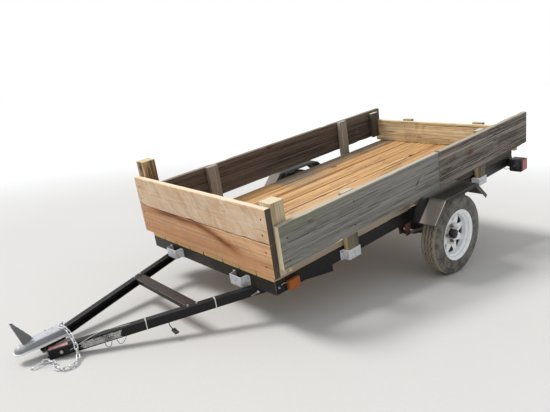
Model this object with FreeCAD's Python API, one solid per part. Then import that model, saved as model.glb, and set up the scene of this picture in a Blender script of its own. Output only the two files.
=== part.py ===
import FreeCAD, Part
import math
import os
from FreeCAD import Vector

# Small bolt-together utility trailer with home-made wooden sides, in millimetres.
# It is drawn level, with the front rail's front face at x = 0, its top at z = 0,
# +X towards the coupler and +Y to the trailer's left, and is tipped onto its tongue at the end.

# Frame
frame_length = 2438.0
frame_width = 1220.0
rail_height = 76.0
rail_flange = 38.0
rail_wall = 3.2
rail_bend = 5.0
cope_clearance = 0.4
crossmember_count = 3

# Tongue: two channel arms that pass under the front rail and end under the side rails
arm_height = 50.0
arm_flange = 38.0
arm_wall = 3.2
arm_tip_half_width = 68.6
arm_rear_inset = 14.0
arm_front_x = 985.0
arm_rear_x = -430.0
brace_x = 305.0
brace_width = 60.0
brace_depth = 28.0
spacer_width = 70.0
spacer_height = 18.0
spacer_length = 105.0

# Coupler
coupler_reach = 123.0
coupler_length = 238.0
coupler_width = 70.0
coupler_height = 42.0
coupler_wall = 3.5
coupler_lip = 12.0
ball_radius = 23.8
ball_clearance = 0.5
socket_wall = 5.0
coupler_bend = 10.0
dome_steps = 5
dome_facets = 24
latch_height = 104.0
latch_base = 52.0
latch_width = 30.0
latch_wall = 3.0
latch_tip = 12.0
latch_lean = 24.0
latch_setback = 66.0
latch_gap = 0.3

# Safety chains: each link's heading from +X towards +Y, and its slope; the last one is the hook's
chain_wire = 6.0
chain_inner_length = 27.0
chain_inner_width = 9.5
chain_gap = 0.4
chain_bolt_head = 4.0
hook_wire = 7.0
hook_inner_length = 58.0
hook_inner_width = 17.0
left_chain_twist = -8.0
left_chain_courses = ((118, 4), (112, -28), (104, -36), (96, -36), (92, -42), (88, -70), (82, -56),
                      (72, -22), (55, -1), (40, 0), (20, 0), (-10, 0), (-46, 0), (-80, 0), (-110, 0),
                      (-97, 0), (-61, 0), (-24, 0), (16, -4))
right_chain_twist = -3.0
right_chain_courses = ((-100, 1), (-97, -38), (-84, -72), (-62, -44), (-30, -7), (2, -1), (20, 0),
                       (33, 0), (24, -2))
chain_bolt_radius = 3.7
chain_bolt_length = 22.0
left_bolt_inset = 16.0
left_bolt_y = 18.0
right_bolt_setback = 30.0
right_bolt_inset = 10.0

# Trailer plug on its short lead
lead_radius = 2.5
plug_length = 34.0
plug_width = 24.0
plug_thickness = 11.0
plug_route = ((452, 256, 85.3), (452, 258, 71.0), (450, 271, 61.0), (447, 286, 54.0))

# Stake pockets, bent as a hat section
pocket_inner_width = 92.0
pocket_inner_depth = 42.0
pocket_wall = 3.0
pocket_flange = 24.0
pocket_height = 58.0
pocket_hole_radius = 5.0
front_pocket_setback = 556.0
rear_pocket_setback = 506.0
end_pocket_y = 331.0

# Timber
board_thickness = 38.0
stake_width = 89.0
side_board_height = 235.0
panel_board_height = 184.0
panel_board_gap = 2.0
timber_edge = 3.0
plank_widths = (140.0, 140.0, 140.0, 140.0, 184.0, 140.0, 140.0, 140.0)
side_board_lift = 82.0
panel_overhang = 26.0
left_front_board_length = 1344.0
left_joint_gap = 2.0
left_board_overhang = 68.0
right_board_overhang = 24.0
left_post_top = 423.0
right_post_top = 503.0
post_size = 89.0
rear_stake_top = 232.0
rear_post_top = 298.0

# Running gear
axle_setback = 1027.0
axle_drop = 243.0
tyre_gap = 43.0
tyre_radius = 262.0
tyre_width = 124.0
bead_radius = 152.0
rim_flange_radius = 167.0
rim_flange_half_width = 56.0
rim_wall = 3.0
well_depth = 18.0
well_half_width = 30.0
seat_gap = 0.4
tread_inset = 18.0
wheel_facets = 40
hub_facets = 24
disc_inset = 58.0
disc_wall = 4.0
disc_dish = 10.0
vent_count = 8
vent_inner_radius = 90.0
vent_outer_radius = 121.0
vent_half_width = 17.0
hub_flange_radius = 66.0
hub_radius = 30.0
hub_cap_radius = 31.0
hub_cap_length = 44.0
hub_cap_crown = 8.0
hub_cap_wall = 4.0
hub_barrel_length = 38.0
hub_flange_wall = 8.0
spindle_radius = 12.7
bearing_clearance = 0.05
axle_half = 22.0
spring_width = 44.0
spring_leaf = 6.0
spring_half_length = 318.0
spring_eye_radius = 13.0
spring_eye_hole = 7.0
hanger_wall = 5.0
hanger_top_half = 30.0
hanger_foot_half = 17.0
hanger_bolt_proud = 6.0
hanger_bolt_gap = 0.3
leaf_half_lengths = (318.0, 250.0, 180.0, 110.0)
spring_arch = 46.0
spring_bends = 12
spring_pad = 6.0
clamp_plate_half = 42.0
clamp_rod_radius = 5.0
clamp_gap = 0.3
spring_pad_half = 24.0
axle_end_gap = 3.0

# Fenders
fender_top = 59.0
fender_sheet = 2.0
fender_rail_gap = 18.0
fender_overhang = 28.0
fender_top_half = 180.0
fender_foot_half = 305.0
fender_drop = 121.0
fender_lip = 25.0
fender_bracket_spread = 130.0
fender_bracket_width = 40.0
fender_bracket_thickness = 5.0

# Lamps
marker_length = 75.0
marker_height = 56.0
marker_depth = 26.0
marker_edge = 4.0
marker_front_x = -75.0
marker_top = -18.0
lamp_width = 95.0
lamp_height = 95.0
lamp_depth = 62.0
lamp_edge = 7.0
lamp_bracket_size = 60.0
lamp_bracket_thickness = 5.0
lens_depth = 26.0
lens_inset = 4.0
lens_edge = 6.0
lamp_setback = 62.0
lamp_rail_gap = 12.0
lamp_top = -18.0

half_width = frame_width / 2
deck_top = board_thickness
side_board_y = half_width + pocket_inner_depth
side_pocket_stations = (-front_pocket_setback, rear_pocket_setback - frame_length)
wheel_x = axle_setback - frame_length
wheel_y = half_width + tyre_gap + tyre_width / 2
fender_inner_y = half_width + fender_rail_gap
fender_outer_y = wheel_y + tyre_width / 2 + fender_overhang
lamp_front_x = lamp_setback - frame_length
lamp_inner_y = half_width + lamp_rail_gap
arm_top = -rail_height
arm_bottom = arm_top - arm_height
arm_slope = (half_width - arm_rear_inset - arm_tip_half_width) / (arm_front_x - arm_rear_x)
arm_angle = math.atan(arm_slope)
spacer_top = arm_top + spacer_height
coupler_nose_x = arm_front_x + coupler_reach
coupler_rear_x = coupler_nose_x - coupler_length
ball_x = coupler_nose_x - ball_radius - ball_clearance - socket_wall

pieces = {}


def box(x0, x1, y0, y1, z0, z1):
    low = Vector(min(x0, x1), min(y0, y1), min(z0, z1))
    return Part.makeBox(abs(x1 - x0), abs(y1 - y0), abs(z1 - z0), low)


def mirrored(shape):
    return shape.mirror(Vector(0, 0, 0), Vector(0, 1, 0))


def polygon_face(points):
    return Part.Face(Part.makePolygon([Vector(*point) for point in points + points[:1]]))


def prism(points, direction):
    return polygon_face(points).extrude(Vector(*direction))


def cylinder(start, direction, radius, length):
    return Part.makeCylinder(radius, length, Vector(*start), Vector(*direction))


def rod(start, along, radius, length):
    """Eight-sided bar standing in for round rod where the part is small."""
    angles = [math.radians(45 * corner) for corner in range(8)]
    shape = prism([(radius * math.cos(angle), radius * math.sin(angle), 0) for angle in angles], (0, 0, length))
    shape.Placement = FreeCAD.Placement(Vector(*start), FreeCAD.Rotation(Vector(0, 0, 1), Vector(*along)))
    return shape


def fuse(shapes):
    return shapes[0].multiFuse(shapes[1:]).removeSplitter()


def long_edges(shape, axis):
    picked = []
    for edge in shape.Edges:
        if edge.Curve.TypeId != "Part::GeomLine":
            continue
        along = edge.tangentAt(edge.FirstParameter)
        if abs(abs(along.dot(axis)) - 1) < 1e-6:
            picked.append(edge)
    return picked


def timber(x0, x1, y0, y1, z0, z1, along):
    plain = box(x0, x1, y0, y1, z0, z1)
    return plain.makeChamfer(timber_edge, long_edges(plain, Vector(*along)))


def channel(length, height, flange, wall):
    """Bent channel along +X: web outside at y = 0, flanges towards -Y, top at z = 0."""
    profile = [
        (0, 0, 0), (0, -flange, 0), (0, -flange, -wall), (0, -wall, -wall),
        (0, -wall, wall - height), (0, -flange, wall - height), (0, -flange, -height), (0, 0, -height),
    ]
    solid = prism(profile, (length, 0, 0))
    outer = [edge for edge in long_edges(solid, Vector(1, 0, 0))
             if abs(edge.CenterOfMass.y) < 0.01]
    return solid.makeFillet(rail_bend, outer)


def side_rail_left():
    rail = channel(frame_length - 2 * rail_wall, rail_height, rail_flange, rail_wall)
    rail.translate(Vector(-frame_length + rail_wall, half_width, 0))
    return rail


def coped_rail(web_span, flange_span, web_clear):
    """Cross channel along Y, web at x = 0 facing +X, its flanges cut back at both ends."""
    cross = channel(web_span, rail_height, rail_flange, rail_wall)
    cross.rotate(Vector(0, 0, 0), Vector(0, 0, 1), -90)
    cross.translate(Vector(0, web_span / 2, 0))
    # The channel ran along +X with flanges to -Y, and now it runs along -Y with flanges to -X
    for side in (1, -1):
        notch = box(-rail_flange - 1, -rail_wall, side * flange_span / 2, side * (web_span / 2 + 1),
                    -rail_height - 1, 1)
        cross = cross.cut(notch)
        if web_clear:
            for z0, z1 in ((-rail_wall - cope_clearance, 1),
                           (-rail_height - 1, -rail_height + rail_wall + cope_clearance)):
                strip = box(-rail_wall - 1, 1, side * flange_span / 2, side * (web_span / 2 + 1), z0, z1)
                cross = cross.cut(strip)
    return cross


def end_rails():
    flange_span = frame_width - 2 * rail_flange - 2 * cope_clearance
    front = coped_rail(frame_width, flange_span, False)
    rear = coped_rail(frame_width, flange_span, False)
    rear.rotate(Vector(0, 0, 0), Vector(0, 0, 1), 180)
    rear.translate(Vector(-frame_length, 0, 0))
    return front, rear


def crossmembers():
    flange_span = frame_width - 2 * rail_flange - 2 * cope_clearance
    web_span = frame_width - 2 * rail_wall - 2 * cope_clearance
    spacing = frame_length / (crossmember_count + 1)
    members = []
    for index in range(1, crossmember_count + 1):
        member = coped_rail(web_span, flange_span, True)
        member.translate(Vector(-index * spacing, 0, 0))
        members.append(member)
    return Part.makeCompound(members)


def arm_outer_y(x):
    return arm_tip_half_width + arm_slope * (arm_front_x - x)


def tongue_arm_left():
    """Channel whose web faces outwards, run along the slanted line and cut square to the trailer."""
    reach = 4 * arm_flange
    start = arm_rear_x - reach
    length = (arm_front_x - start + reach) / math.cos(arm_angle)
    arm = channel(length, arm_height, arm_flange, arm_wall)
    arm.rotate(Vector(0, 0, 0), Vector(0, 0, 1), -math.degrees(arm_angle))
    arm.translate(Vector(start, arm_outer_y(start), arm_top))
    keep = box(arm_rear_x, arm_front_x, 1, frame_width, arm_bottom - 1, arm_top + 1)
    return arm.common(keep)


def tongue_brace():
    """Channel with its web up, tucked under the arms' top flanges and cut along their webs."""
    half = brace_width / 2
    top = arm_top - arm_wall
    outside = box(brace_x - half, brace_x + half, -frame_width, frame_width, top - brace_depth, top)
    inside = box(brace_x - half + arm_wall, brace_x + half - arm_wall, -frame_width, frame_width,
                 top - brace_depth, top - arm_wall)
    brace = outside.cut(inside)
    inset = (arm_wall + cope_clearance) / math.cos(arm_angle)
    ahead = brace_x + brace_width
    behind = brace_x - brace_width
    corners = [(behind, arm_outer_y(behind) - inset, top - brace_depth - 1),
               (ahead, arm_outer_y(ahead) - inset, top - brace_depth - 1),
               (ahead, -arm_outer_y(ahead) + inset, top - brace_depth - 1),
               (behind, -arm_outer_y(behind) + inset, top - brace_depth - 1)]
    return brace.common(prism(corners, (0, 0, brace_depth + 2)))


def tongue_spacer():
    """Short channel with its web up that lifts the coupler off the two arms."""
    half = spacer_width / 2
    rear = arm_front_x - spacer_length
    outside = box(rear, arm_front_x, -half, half, arm_top, spacer_top)
    inside = box(rear, arm_front_x, -half + arm_wall, half - arm_wall, arm_top, spacer_top - arm_wall)
    return outside.cut(inside)


def hood_top(x):
    """Height of the coupler's hood, which slopes down to the dome over its front third."""
    slope_length = coupler_length / 3
    drop = coupler_height - ball_radius - ball_clearance - socket_wall
    return spacer_top + coupler_height - drop * max(0, 1 - (ball_x - x) / slope_length)


def coupler_body():
    """Stamped coupler: a hooded channel with side lips that runs into a round ball housing."""
    half = coupler_width / 2
    top = spacer_top + coupler_height
    socket_radius = ball_radius + ball_clearance
    dome_radius = socket_radius + socket_wall
    hood = box(coupler_rear_x, ball_x, -half, half, spacer_top, top)
    hood = hood.makeFillet(coupler_bend, [edge for edge in long_edges(hood, Vector(1, 0, 0))
                                          if edge.CenterOfMass.z > top - 1])
    slope_start = ball_x - coupler_length / 3
    wedge = prism([(slope_start, -half - 1, top), (ball_x, -half - 1, hood_top(ball_x)),
                   (ball_x + 1, -half - 1, hood_top(ball_x)), (ball_x + 1, -half - 1, top + 1),
                   (slope_start, -half - 1, top + 1)], (0, coupler_width + 2, 0))
    # Seen from above, the sides draw in towards the dome
    plan = [(coupler_rear_x - 1, -half - 1), (slope_start, -half - 1), (ball_x + 1, -dome_radius),
            (ball_x + 1, dome_radius), (slope_start, half + 1), (coupler_rear_x - 1, half + 1)]
    hood = hood.cut(wedge).common(prism([(x, y, spacer_top - 1) for x, y in plan],
                                        (0, 0, coupler_height + 2)))
    dome = ball_dome(dome_radius, spacer_top)
    lip_plan = [(x, y + math.copysign(coupler_lip, y)) for x, y in plan]
    lip_plan[0] = (coupler_rear_x, lip_plan[0][1] + 1)
    lip_plan[-1] = (coupler_rear_x, lip_plan[-1][1] - 1)
    lip = prism([(x, y, spacer_top) for x, y in lip_plan], (0, 0, coupler_wall))
    ring = cylinder((ball_x, 0, spacer_top), (0, 0, 1), dome_radius + coupler_lip / 2, coupler_wall)
    shell = fuse([hood, dome, lip, ring])
    hollow = box(coupler_rear_x - 1, slope_start, -half + coupler_wall, half - coupler_wall,
                 spacer_top - 1, top - coupler_wall)
    shell = shell.cut(hollow)
    throat = box(slope_start - 1, ball_x, -socket_radius * 0.6, socket_radius * 0.6,
                 spacer_top - 1, spacer_top + socket_radius * 0.75)
    return shell.cut(throat).cut(ball_dome(socket_radius, spacer_top - 1))


def ball_dome(radius, base):
    """Upper half of a ball about the socket's centre, in flat facets, with a stub down to the base."""
    points = [(0, base), (radius, base)] if base < spacer_top else [(0, base)]
    for step in range(dome_steps + 1):
        angle = math.radians(90) * step / dome_steps
        points.append((radius * math.cos(angle), spacer_top + radius * math.sin(angle)))
    points[-1] = (0, points[-1][1])
    dome = turned(points, dome_facets)
    dome.rotate(Vector(0, 0, 0), Vector(1, 0, 0), 90)
    dome.translate(Vector(ball_x, 0, 0))
    return dome


def coupler_latch():
    """Raised latch lever: a bent plate with two toothed cheeks on a low saddle."""
    half = latch_width / 2
    x0 = ball_x - latch_setback
    x1 = x0 + latch_base
    base = hood_top(x0) + latch_gap
    low = hood_top(x1) + latch_gap
    tip = x1 + latch_lean
    top = base + latch_height
    cheek = [(x0, base), (x1, low), (tip, top), (tip - latch_tip, top)]
    teeth = 4
    back = []
    for step in range(teeth):
        share = (step + 0.5) / teeth
        x = tip - latch_tip + (x0 - tip + latch_tip) * share
        z = top + (base - top) * share
        back.extend([(x, z), (x - 3.0, z - latch_height * 0.07)])
    outline = cheek + back
    solid = prism([(x, -half, z) for x, z in outline], (0, latch_width, 0))
    hollow = box(x0 - latch_base, tip, -half + latch_wall, half - latch_wall, low - 1, top + 1)
    spine = prism([(x1 - latch_wall, -half, hood_top(x1 - latch_wall) + latch_gap), (x1, -half, low),
                   (tip, -half, top), (tip - latch_wall, -half, top)], (0, latch_width, 0))
    return fuse([solid.cut(hollow), spine])


def ring_solid(wire, inner_length, inner_width):
    """Closed link along X with its loop in the XY plane: eight straight runs of six-sided rod."""
    mid = inner_width / 2 + wire / 2
    end = inner_length / 2 + wire / 2
    straight = inner_length / 2 - inner_width / 2
    corners = [(end, -mid / 2), (end, mid / 2), (straight, mid), (-straight, mid),
               (-end, mid / 2), (-end, -mid / 2), (-straight, -mid), (straight, -mid)]
    rings = []
    for index, (x, y) in enumerate(corners):
        before = corners[index - 1]
        after = corners[(index + 1) % len(corners)]
        came = Vector(x - before[0], y - before[1], 0).normalize()
        goes = Vector(after[0] - x, after[1] - y, 0).normalize()
        outward = Vector(came.y + goes.y, -came.x - goes.x, 0).normalize()
        stretch = 1 / math.cos(came.getAngle(goes) / 2)
        ring = []
        for side in range(6):
            angle = math.radians(60 * side)
            ring.append(Vector(x, y, 0) + outward * (wire / 2 * stretch * math.cos(angle))
                        + Vector(0, 0, wire / 2 * math.sin(angle)))
        rings.append(ring)
    faces = []
    for index, ring in enumerate(rings):
        other = rings[(index + 1) % len(rings)]
        for side in range(6):
            after = (side + 1) % 6
            loop = [ring[side], other[side], other[after], ring[after], ring[side]]
            faces.append(Part.Face(Part.makePolygon(loop)))
    solid = Part.Solid(Part.Shell(faces))
    if solid.Volume < 0:
        solid.reverse()
    return solid


def floor_height(x):
    """Level-frame height of the floor under x."""
    return arm_bottom - (arm_front_x - x) * math.tan(math.radians(park_angle))


def over_floor(x, y, height):
    """Point of the parked trailer at a height over the floor."""
    spot = Vector(x, y, floor_height(x))
    spot = FreeCAD.Rotation(Vector(0, 1, 0), park_angle).multVec(spot - wheel_centre) + wheel_centre
    return spot + Vector(0, 0, height)


def course(heading, slope):
    """Unit vector from a heading round Z and a slope, in degrees, with the trailer parked."""
    turn = math.radians(heading)
    rise = math.radians(slope)
    return Vector(math.cos(turn) * math.cos(rise), math.sin(turn) * math.cos(rise), math.sin(rise))


def placed_link(link, centre, along, facing):
    across = facing.cross(along).normalize()
    normal = along.cross(across)
    matrix = FreeCAD.Matrix(along.x, across.x, normal.x, centre.x,
                            along.y, across.y, normal.y, centre.y,
                            along.z, across.z, normal.z, centre.z, 0, 0, 0, 1)
    moved = link.copy()
    moved.Placement = FreeCAD.Placement(matrix)
    return moved


def chain(bolt_foot, twist, courses):
    """Bolt, links and hook. Each link is turned a little past square to the one before.

    The end bars of two linked rings cross at one bar's thickness plus the gap, so that each
    sits in the middle of the other however sharply the chain bends there."""
    bolt_axis = course(0, 90 - park_angle)
    facing = bolt_axis
    links = []
    across = None
    for index, (heading, slope) in enumerate(courses):
        hooked = index == len(courses) - 1
        wire = hook_wire if hooked else chain_wire
        length = hook_inner_length if hooked else chain_inner_length
        width = hook_inner_width if hooked else chain_inner_width
        reach = (length + wire) / 2
        along = course(heading, slope)
        if links:
            facing = FreeCAD.Rotation(along, 90 + twist).multVec(facing)
        facing = (facing - along * facing.dot(along)).normalize()
        across_before = across
        across = facing.cross(along)
        if links:
            apart = across_before.cross(across).normalize()
            if apart.dot(along) > 0:
                apart = apart * -1
            rear_bar = front_bar + apart * ((wire + wire_before) / 2 + chain_gap)
        else:
            lift = chain_wire / 2 + chain_gap
            rear_bar = bolt_foot + bolt_axis * lift - along * (chain_bolt_radius + lift)
        front_bar = rear_bar + along * 2 * reach
        wire_before = wire
        links.append(placed_link(ring_solid(wire, length, width), rear_bar + along * reach, along, facing))
    bolt = rod(bolt_foot, bolt_axis, chain_bolt_radius, chain_bolt_length)
    head_foot = bolt_foot + bolt_axis * (chain_bolt_length - chain_bolt_head)
    head = rod(head_foot, bolt_axis, 2 * chain_bolt_radius, chain_bolt_head)
    return links + [fuse([bolt, head])]


def tipped(spot):
    return FreeCAD.Rotation(Vector(0, 1, 0), park_angle).multVec(spot - wheel_centre) + wheel_centre


def safety_chains():
    """Left chain: off the coupler's top, over the arm and round on the floor. Right chain: under the nose."""
    left_bolt = tipped(Vector(coupler_rear_x + left_bolt_inset, left_bolt_y, spacer_top + coupler_height))
    right_x = coupler_rear_x - right_bolt_setback
    right_bolt = tipped(Vector(right_x, right_bolt_inset - arm_outer_y(right_x), arm_top))
    return (chain(left_bolt, left_chain_twist, left_chain_courses)
            + chain(right_bolt, right_chain_twist, right_chain_courses))


def tube_along(points, radius):
    """Eight-sided tube of straight runs joined by tangent arcs, each as large as its two runs allow."""
    edges = []
    start = points[0]
    for index in range(1, len(points) - 1):
        corner = points[index]
        back = (points[index - 1] - corner)
        ahead = (points[index + 1] - corner)
        turn = math.pi - back.getAngle(ahead)
        trim = 0.45 * min(back.Length, ahead.Length)
        bend = trim / math.tan(turn / 2)
        back.normalize()
        ahead.normalize()
        enters = corner + back * trim
        leaves = corner + ahead * trim
        inside = (back + ahead).normalize()
        middle = corner + inside * (math.hypot(bend, trim) - bend)
        edges.append(Part.LineSegment(start, enters).toShape())
        edges.append(Part.Arc(enters, middle, leaves).toShape())
        start = leaves
    edges.append(Part.LineSegment(start, points[-1]).toShape())
    path = Part.Wire(edges)
    section = rod(points[0], points[1] - points[0], radius, 1.0).Faces
    end = [face for face in section if (face.CenterOfMass - points[0]).Length < 1e-6][0]
    return path.makePipeShell([end.OuterWire], True, True)


def plug_and_lead():
    """Flat plug hanging on its lead, which comes out under the left arm."""
    route = [over_floor(*spot) for spot in plug_route]
    lead = tube_along(route, lead_radius)
    heading = (route[-1] - route[-2]).normalize()
    plug = box(0, plug_length, -plug_width / 2, plug_width / 2, -plug_thickness / 2, plug_thickness / 2)
    plug = plug.makeChamfer(2.0, long_edges(plug, Vector(1, 0, 0)))
    return lead, placed_link(plug, route[-1], heading, Vector(0, 0, 1))


def stake_pocket(hole_shape):
    """Hat-section pocket standing along Z: flanges at y = 0, its box towards +Y, centred on x = 0."""
    half = pocket_inner_width / 2
    wall = pocket_wall
    deep = pocket_inner_depth + wall
    side = half + wall
    edge = side + pocket_flange
    profile = [(-edge, 0, 0), (-edge, wall, 0), (-side, wall, 0), (-side, deep, 0),
               (side, deep, 0), (side, wall, 0), (edge, wall, 0), (edge, 0, 0),
               (half, 0, 0), (half, pocket_inner_depth, 0), (-half, pocket_inner_depth, 0), (-half, 0, 0)]
    body = prism(profile, (0, 0, pocket_height))
    hole_z = pocket_height / 2
    return body.cut(hole_shape((0, pocket_inner_depth / 2, hole_z), (0, 1, 0), pocket_hole_radius, deep))


def placed_pocket(x, y, turn, hole_shape=rod):
    pocket = stake_pocket(hole_shape)
    pocket.rotate(Vector(0, 0, 0), Vector(0, 0, 1), turn)
    pocket.translate(Vector(x, y, -rail_height))
    return pocket


def left_pockets():
    return Part.makeCompound([placed_pocket(x, half_width, 0) for x in side_pocket_stations])


def front_pockets():
    """The empty pair, whose screw holes stay open and round."""
    return Part.makeCompound([placed_pocket(0, y, -90, cylinder) for y in (end_pocket_y, -end_pocket_y)])


def rear_pockets():
    return Part.makeCompound([placed_pocket(-frame_length, y, 90) for y in (end_pocket_y, -end_pocket_y)])


def left_stakes():
    top = side_board_lift + side_board_height
    half = stake_width / 2
    return Part.makeCompound([
        timber(x - half, x + half, side_board_y - board_thickness, side_board_y, -rail_height, top, (0, 0, 1))
        for x in side_pocket_stations])


def rear_stakes():
    half = stake_width / 2
    return Part.makeCompound([
        timber(-frame_length - board_thickness, -frame_length, y - half, y + half,
               -rail_height, rear_stake_top, (0, 0, 1))
        for y in (end_pocket_y, -end_pocket_y)])


def deck_planks():
    gap = (frame_width - sum(plank_widths)) / (len(plank_widths) - 1)
    planks = []
    low = -half_width
    for width in plank_widths:
        planks.append(timber(-frame_length, 0, low, low + width, 0, deck_top, (1, 0, 0)))
        low += width + gap
    return Part.makeCompound(planks)


def sides_and_panels():
    front_x = panel_overhang - board_thickness
    rear_face = -frame_length
    low = side_board_lift
    high = side_board_lift + side_board_height
    outer = side_board_y + board_thickness
    joint_x = front_x - left_front_board_length
    pieces["left_board_front"] = timber(joint_x, front_x, side_board_y, outer, low, high, (1, 0, 0))
    pieces["left_board_rear"] = timber(rear_face - left_board_overhang, joint_x - left_joint_gap,
                                       side_board_y, outer, low, high, (1, 0, 0))
    pieces["right_board"] = timber(rear_face - right_board_overhang, front_x, -outer, -side_board_y,
                                   low, high, (1, 0, 0))
    middle = deck_top + panel_board_height
    pieces["front_board_lower"] = timber(front_x, panel_overhang, -side_board_y, side_board_y,
                                         deck_top, middle, (0, 1, 0))
    pieces["front_board_upper"] = timber(front_x, panel_overhang, -side_board_y, side_board_y,
                                         middle + panel_board_gap,
                                         middle + panel_board_gap + panel_board_height, (0, 1, 0))
    pieces["rear_board"] = timber(rear_face, rear_face + board_thickness, -side_board_y, side_board_y,
                                  deck_top, middle, (0, 1, 0))
    for name, side, top in (("left", 1, left_post_top), ("right", -1, right_post_top)):
        pieces["front_post_" + name] = timber(front_x - post_size, front_x,
                                              side * (side_board_y - post_size), side * side_board_y,
                                              deck_top, top, (0, 0, 1))
    inner = side_board_y - board_thickness
    rear_post_x = rear_face + board_thickness
    pieces["rear_posts"] = Part.makeCompound([
        timber(rear_post_x, rear_post_x + stake_width, side * inner, side * side_board_y,
               low, rear_post_top, (0, 0, 1)) for side in (1, -1)])


def offset_line(points, distance):
    """Open line in XZ moved to its right-hand side by distance."""
    moved = []
    for index, point in enumerate(points):
        normals = []
        for a, b in ((index - 1, index), (index, index + 1)):
            if a < 0 or b >= len(points):
                continue
            dx = points[b][0] - points[a][0]
            dz = points[b][1] - points[a][1]
            size = math.hypot(dx, dz)
            normals.append((dz / size, -dx / size))
        nx = sum(normal[0] for normal in normals) / len(normals)
        nz = sum(normal[1] for normal in normals) / len(normals)
        scale = distance / (nx * nx + nz * nz)
        moved.append((point[0] + nx * scale, point[1] + nz * scale))
    return moved


def fender_outline():
    foot = fender_top - fender_drop
    return [(wheel_x - fender_foot_half, foot), (wheel_x - fender_top_half, fender_top),
            (wheel_x + fender_top_half, fender_top), (wheel_x + fender_foot_half, foot)]


def fender_left():
    outline = fender_outline()

    def layer(depth, y0, y1):
        points = outline + offset_line(outline, depth)[::-1]
        return prism([(x, y0, z) for x, z in points], (0, y1 - y0, 0))

    return fuse([layer(fender_sheet, fender_inner_y, fender_outer_y),
                 layer(fender_lip, fender_outer_y - fender_sheet, fender_outer_y)])


def fender_brackets_left():
    top = fender_top - fender_sheet
    half = fender_bracket_width / 2
    brackets = []
    for offset in (-fender_bracket_spread, fender_bracket_spread):
        x = wheel_x + offset
        leg = box(x - half, x + half, half_width, half_width + fender_bracket_thickness,
                  -rail_height + rail_bend, top)
        shelf = box(x - half, x + half, half_width, fender_outer_y - fender_sheet,
                    top - fender_bracket_thickness, top)
        brackets.append(fuse([leg, shelf]))
    return brackets


def turned(points, facets):
    """Solid about the Y axis from a closed profile of (radius, distance along it), in flat facets."""
    rings = []
    for step in range(facets):
        angle = 2 * math.pi * step / facets
        rings.append([Vector(radius * math.cos(angle), along, radius * math.sin(angle))
                      for radius, along in points])
    faces = []
    for step, ring in enumerate(rings):
        following = rings[(step + 1) % facets]
        for corner in range(len(points)):
            before = corner - 1
            loop = [ring[before], ring[corner], following[corner], following[before]]
            loop = [spot for index, spot in enumerate(loop) if (spot - loop[index - 1]).Length > 1e-6]
            if len(loop) > 2:
                faces.append(Part.Face(Part.makePolygon(loop + loop[:1])))
    solid = Part.Solid(Part.Shell(faces))
    if solid.Volume < 0:
        solid.reverse()
    return solid


def at_wheel(shape):
    shape.translate(Vector(wheel_x, wheel_y, -axle_drop))
    return shape


def tyre_left():
    """Six bands: the bore, two sidewall cones on each side, and the tread."""
    half = tyre_width / 2
    bead = rim_flange_half_width - rim_wall - 1.0
    bore = bead_radius + seat_gap
    widest = bead_radius + 0.5 * (tyre_radius - bead_radius)
    side = [(bore, bead - seat_gap), (widest, half), (tyre_radius, half - tread_inset)]
    profile = side + [(radius, -along) for radius, along in side[::-1]]
    return at_wheel(turned(profile, wheel_facets))


def vent_prisms(y0, y1):
    vents = []
    for index in range(vent_count):
        vent = prism([(vent_inner_radius, y0, 0), (vent_outer_radius, y0, vent_half_width),
                      (vent_outer_radius, y0, -vent_half_width)], (0, y1 - y0, 0))
        vent.rotate(Vector(0, 0, 0), Vector(0, 1, 0), (index + 0.5) * 360 / vent_count)
        vents.append(vent)
    return vents


def rim_left():
    """Steel wheel: barrel open to the outside, and a dished disc whose flat ring has the vents."""
    half = rim_flange_half_width
    seat = half - rim_wall - 1.0
    well = bead_radius - well_depth
    outside = [(rim_flange_radius, -half), (bead_radius, -seat), (bead_radius, seat), (rim_flange_radius, half)]
    inside = [(radius - rim_wall, along) for radius, along in outside[:1:-1]]
    inside += [(well, well_half_width), (well, -well_half_width)]
    inside += [(radius - rim_wall, along) for radius, along in outside[1::-1]]
    barrel = turned(outside + inside, wheel_facets)
    face = half - disc_inset
    ring = face + disc_dish
    disc = turned([(hub_cap_radius + 1.0, face - disc_wall), (hub_flange_radius, face - disc_wall),
                   (vent_inner_radius - disc_dish, ring - disc_wall), (well + rim_wall, ring - disc_wall),
                   (well + rim_wall, ring), (vent_inner_radius - disc_dish, ring),
                   (hub_flange_radius, face), (hub_cap_radius + 1.0, face)], wheel_facets)
    for vent in vent_prisms(ring - 2 * disc_wall, ring + disc_wall):
        disc = disc.cut(vent)
    return at_wheel(fuse([barrel, disc]))


def hub_left():
    """Hub barrel, wheel flange against the disc's back, and the grease cap in front, bored for the spindle."""
    bore = spindle_radius + bearing_clearance
    back = rim_flange_half_width - disc_inset - disc_wall
    inner_end = back - hub_barrel_length
    cap_end = back + hub_cap_length
    body = turned([(0, inner_end), (hub_radius, inner_end), (hub_radius, back - hub_flange_wall),
                   (hub_flange_radius, back - hub_flange_wall), (hub_flange_radius, back),
                   (hub_cap_radius, back), (hub_cap_radius, cap_end - hub_cap_crown),
                   (hub_cap_radius - hub_cap_crown, cap_end), (0, cap_end)], hub_facets)
    return at_wheel(body.cut(cylinder((0, inner_end - 1, 0), (0, 1, 0), bore,
                                      cap_end - hub_cap_wall - inner_end + 1)))


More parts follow.
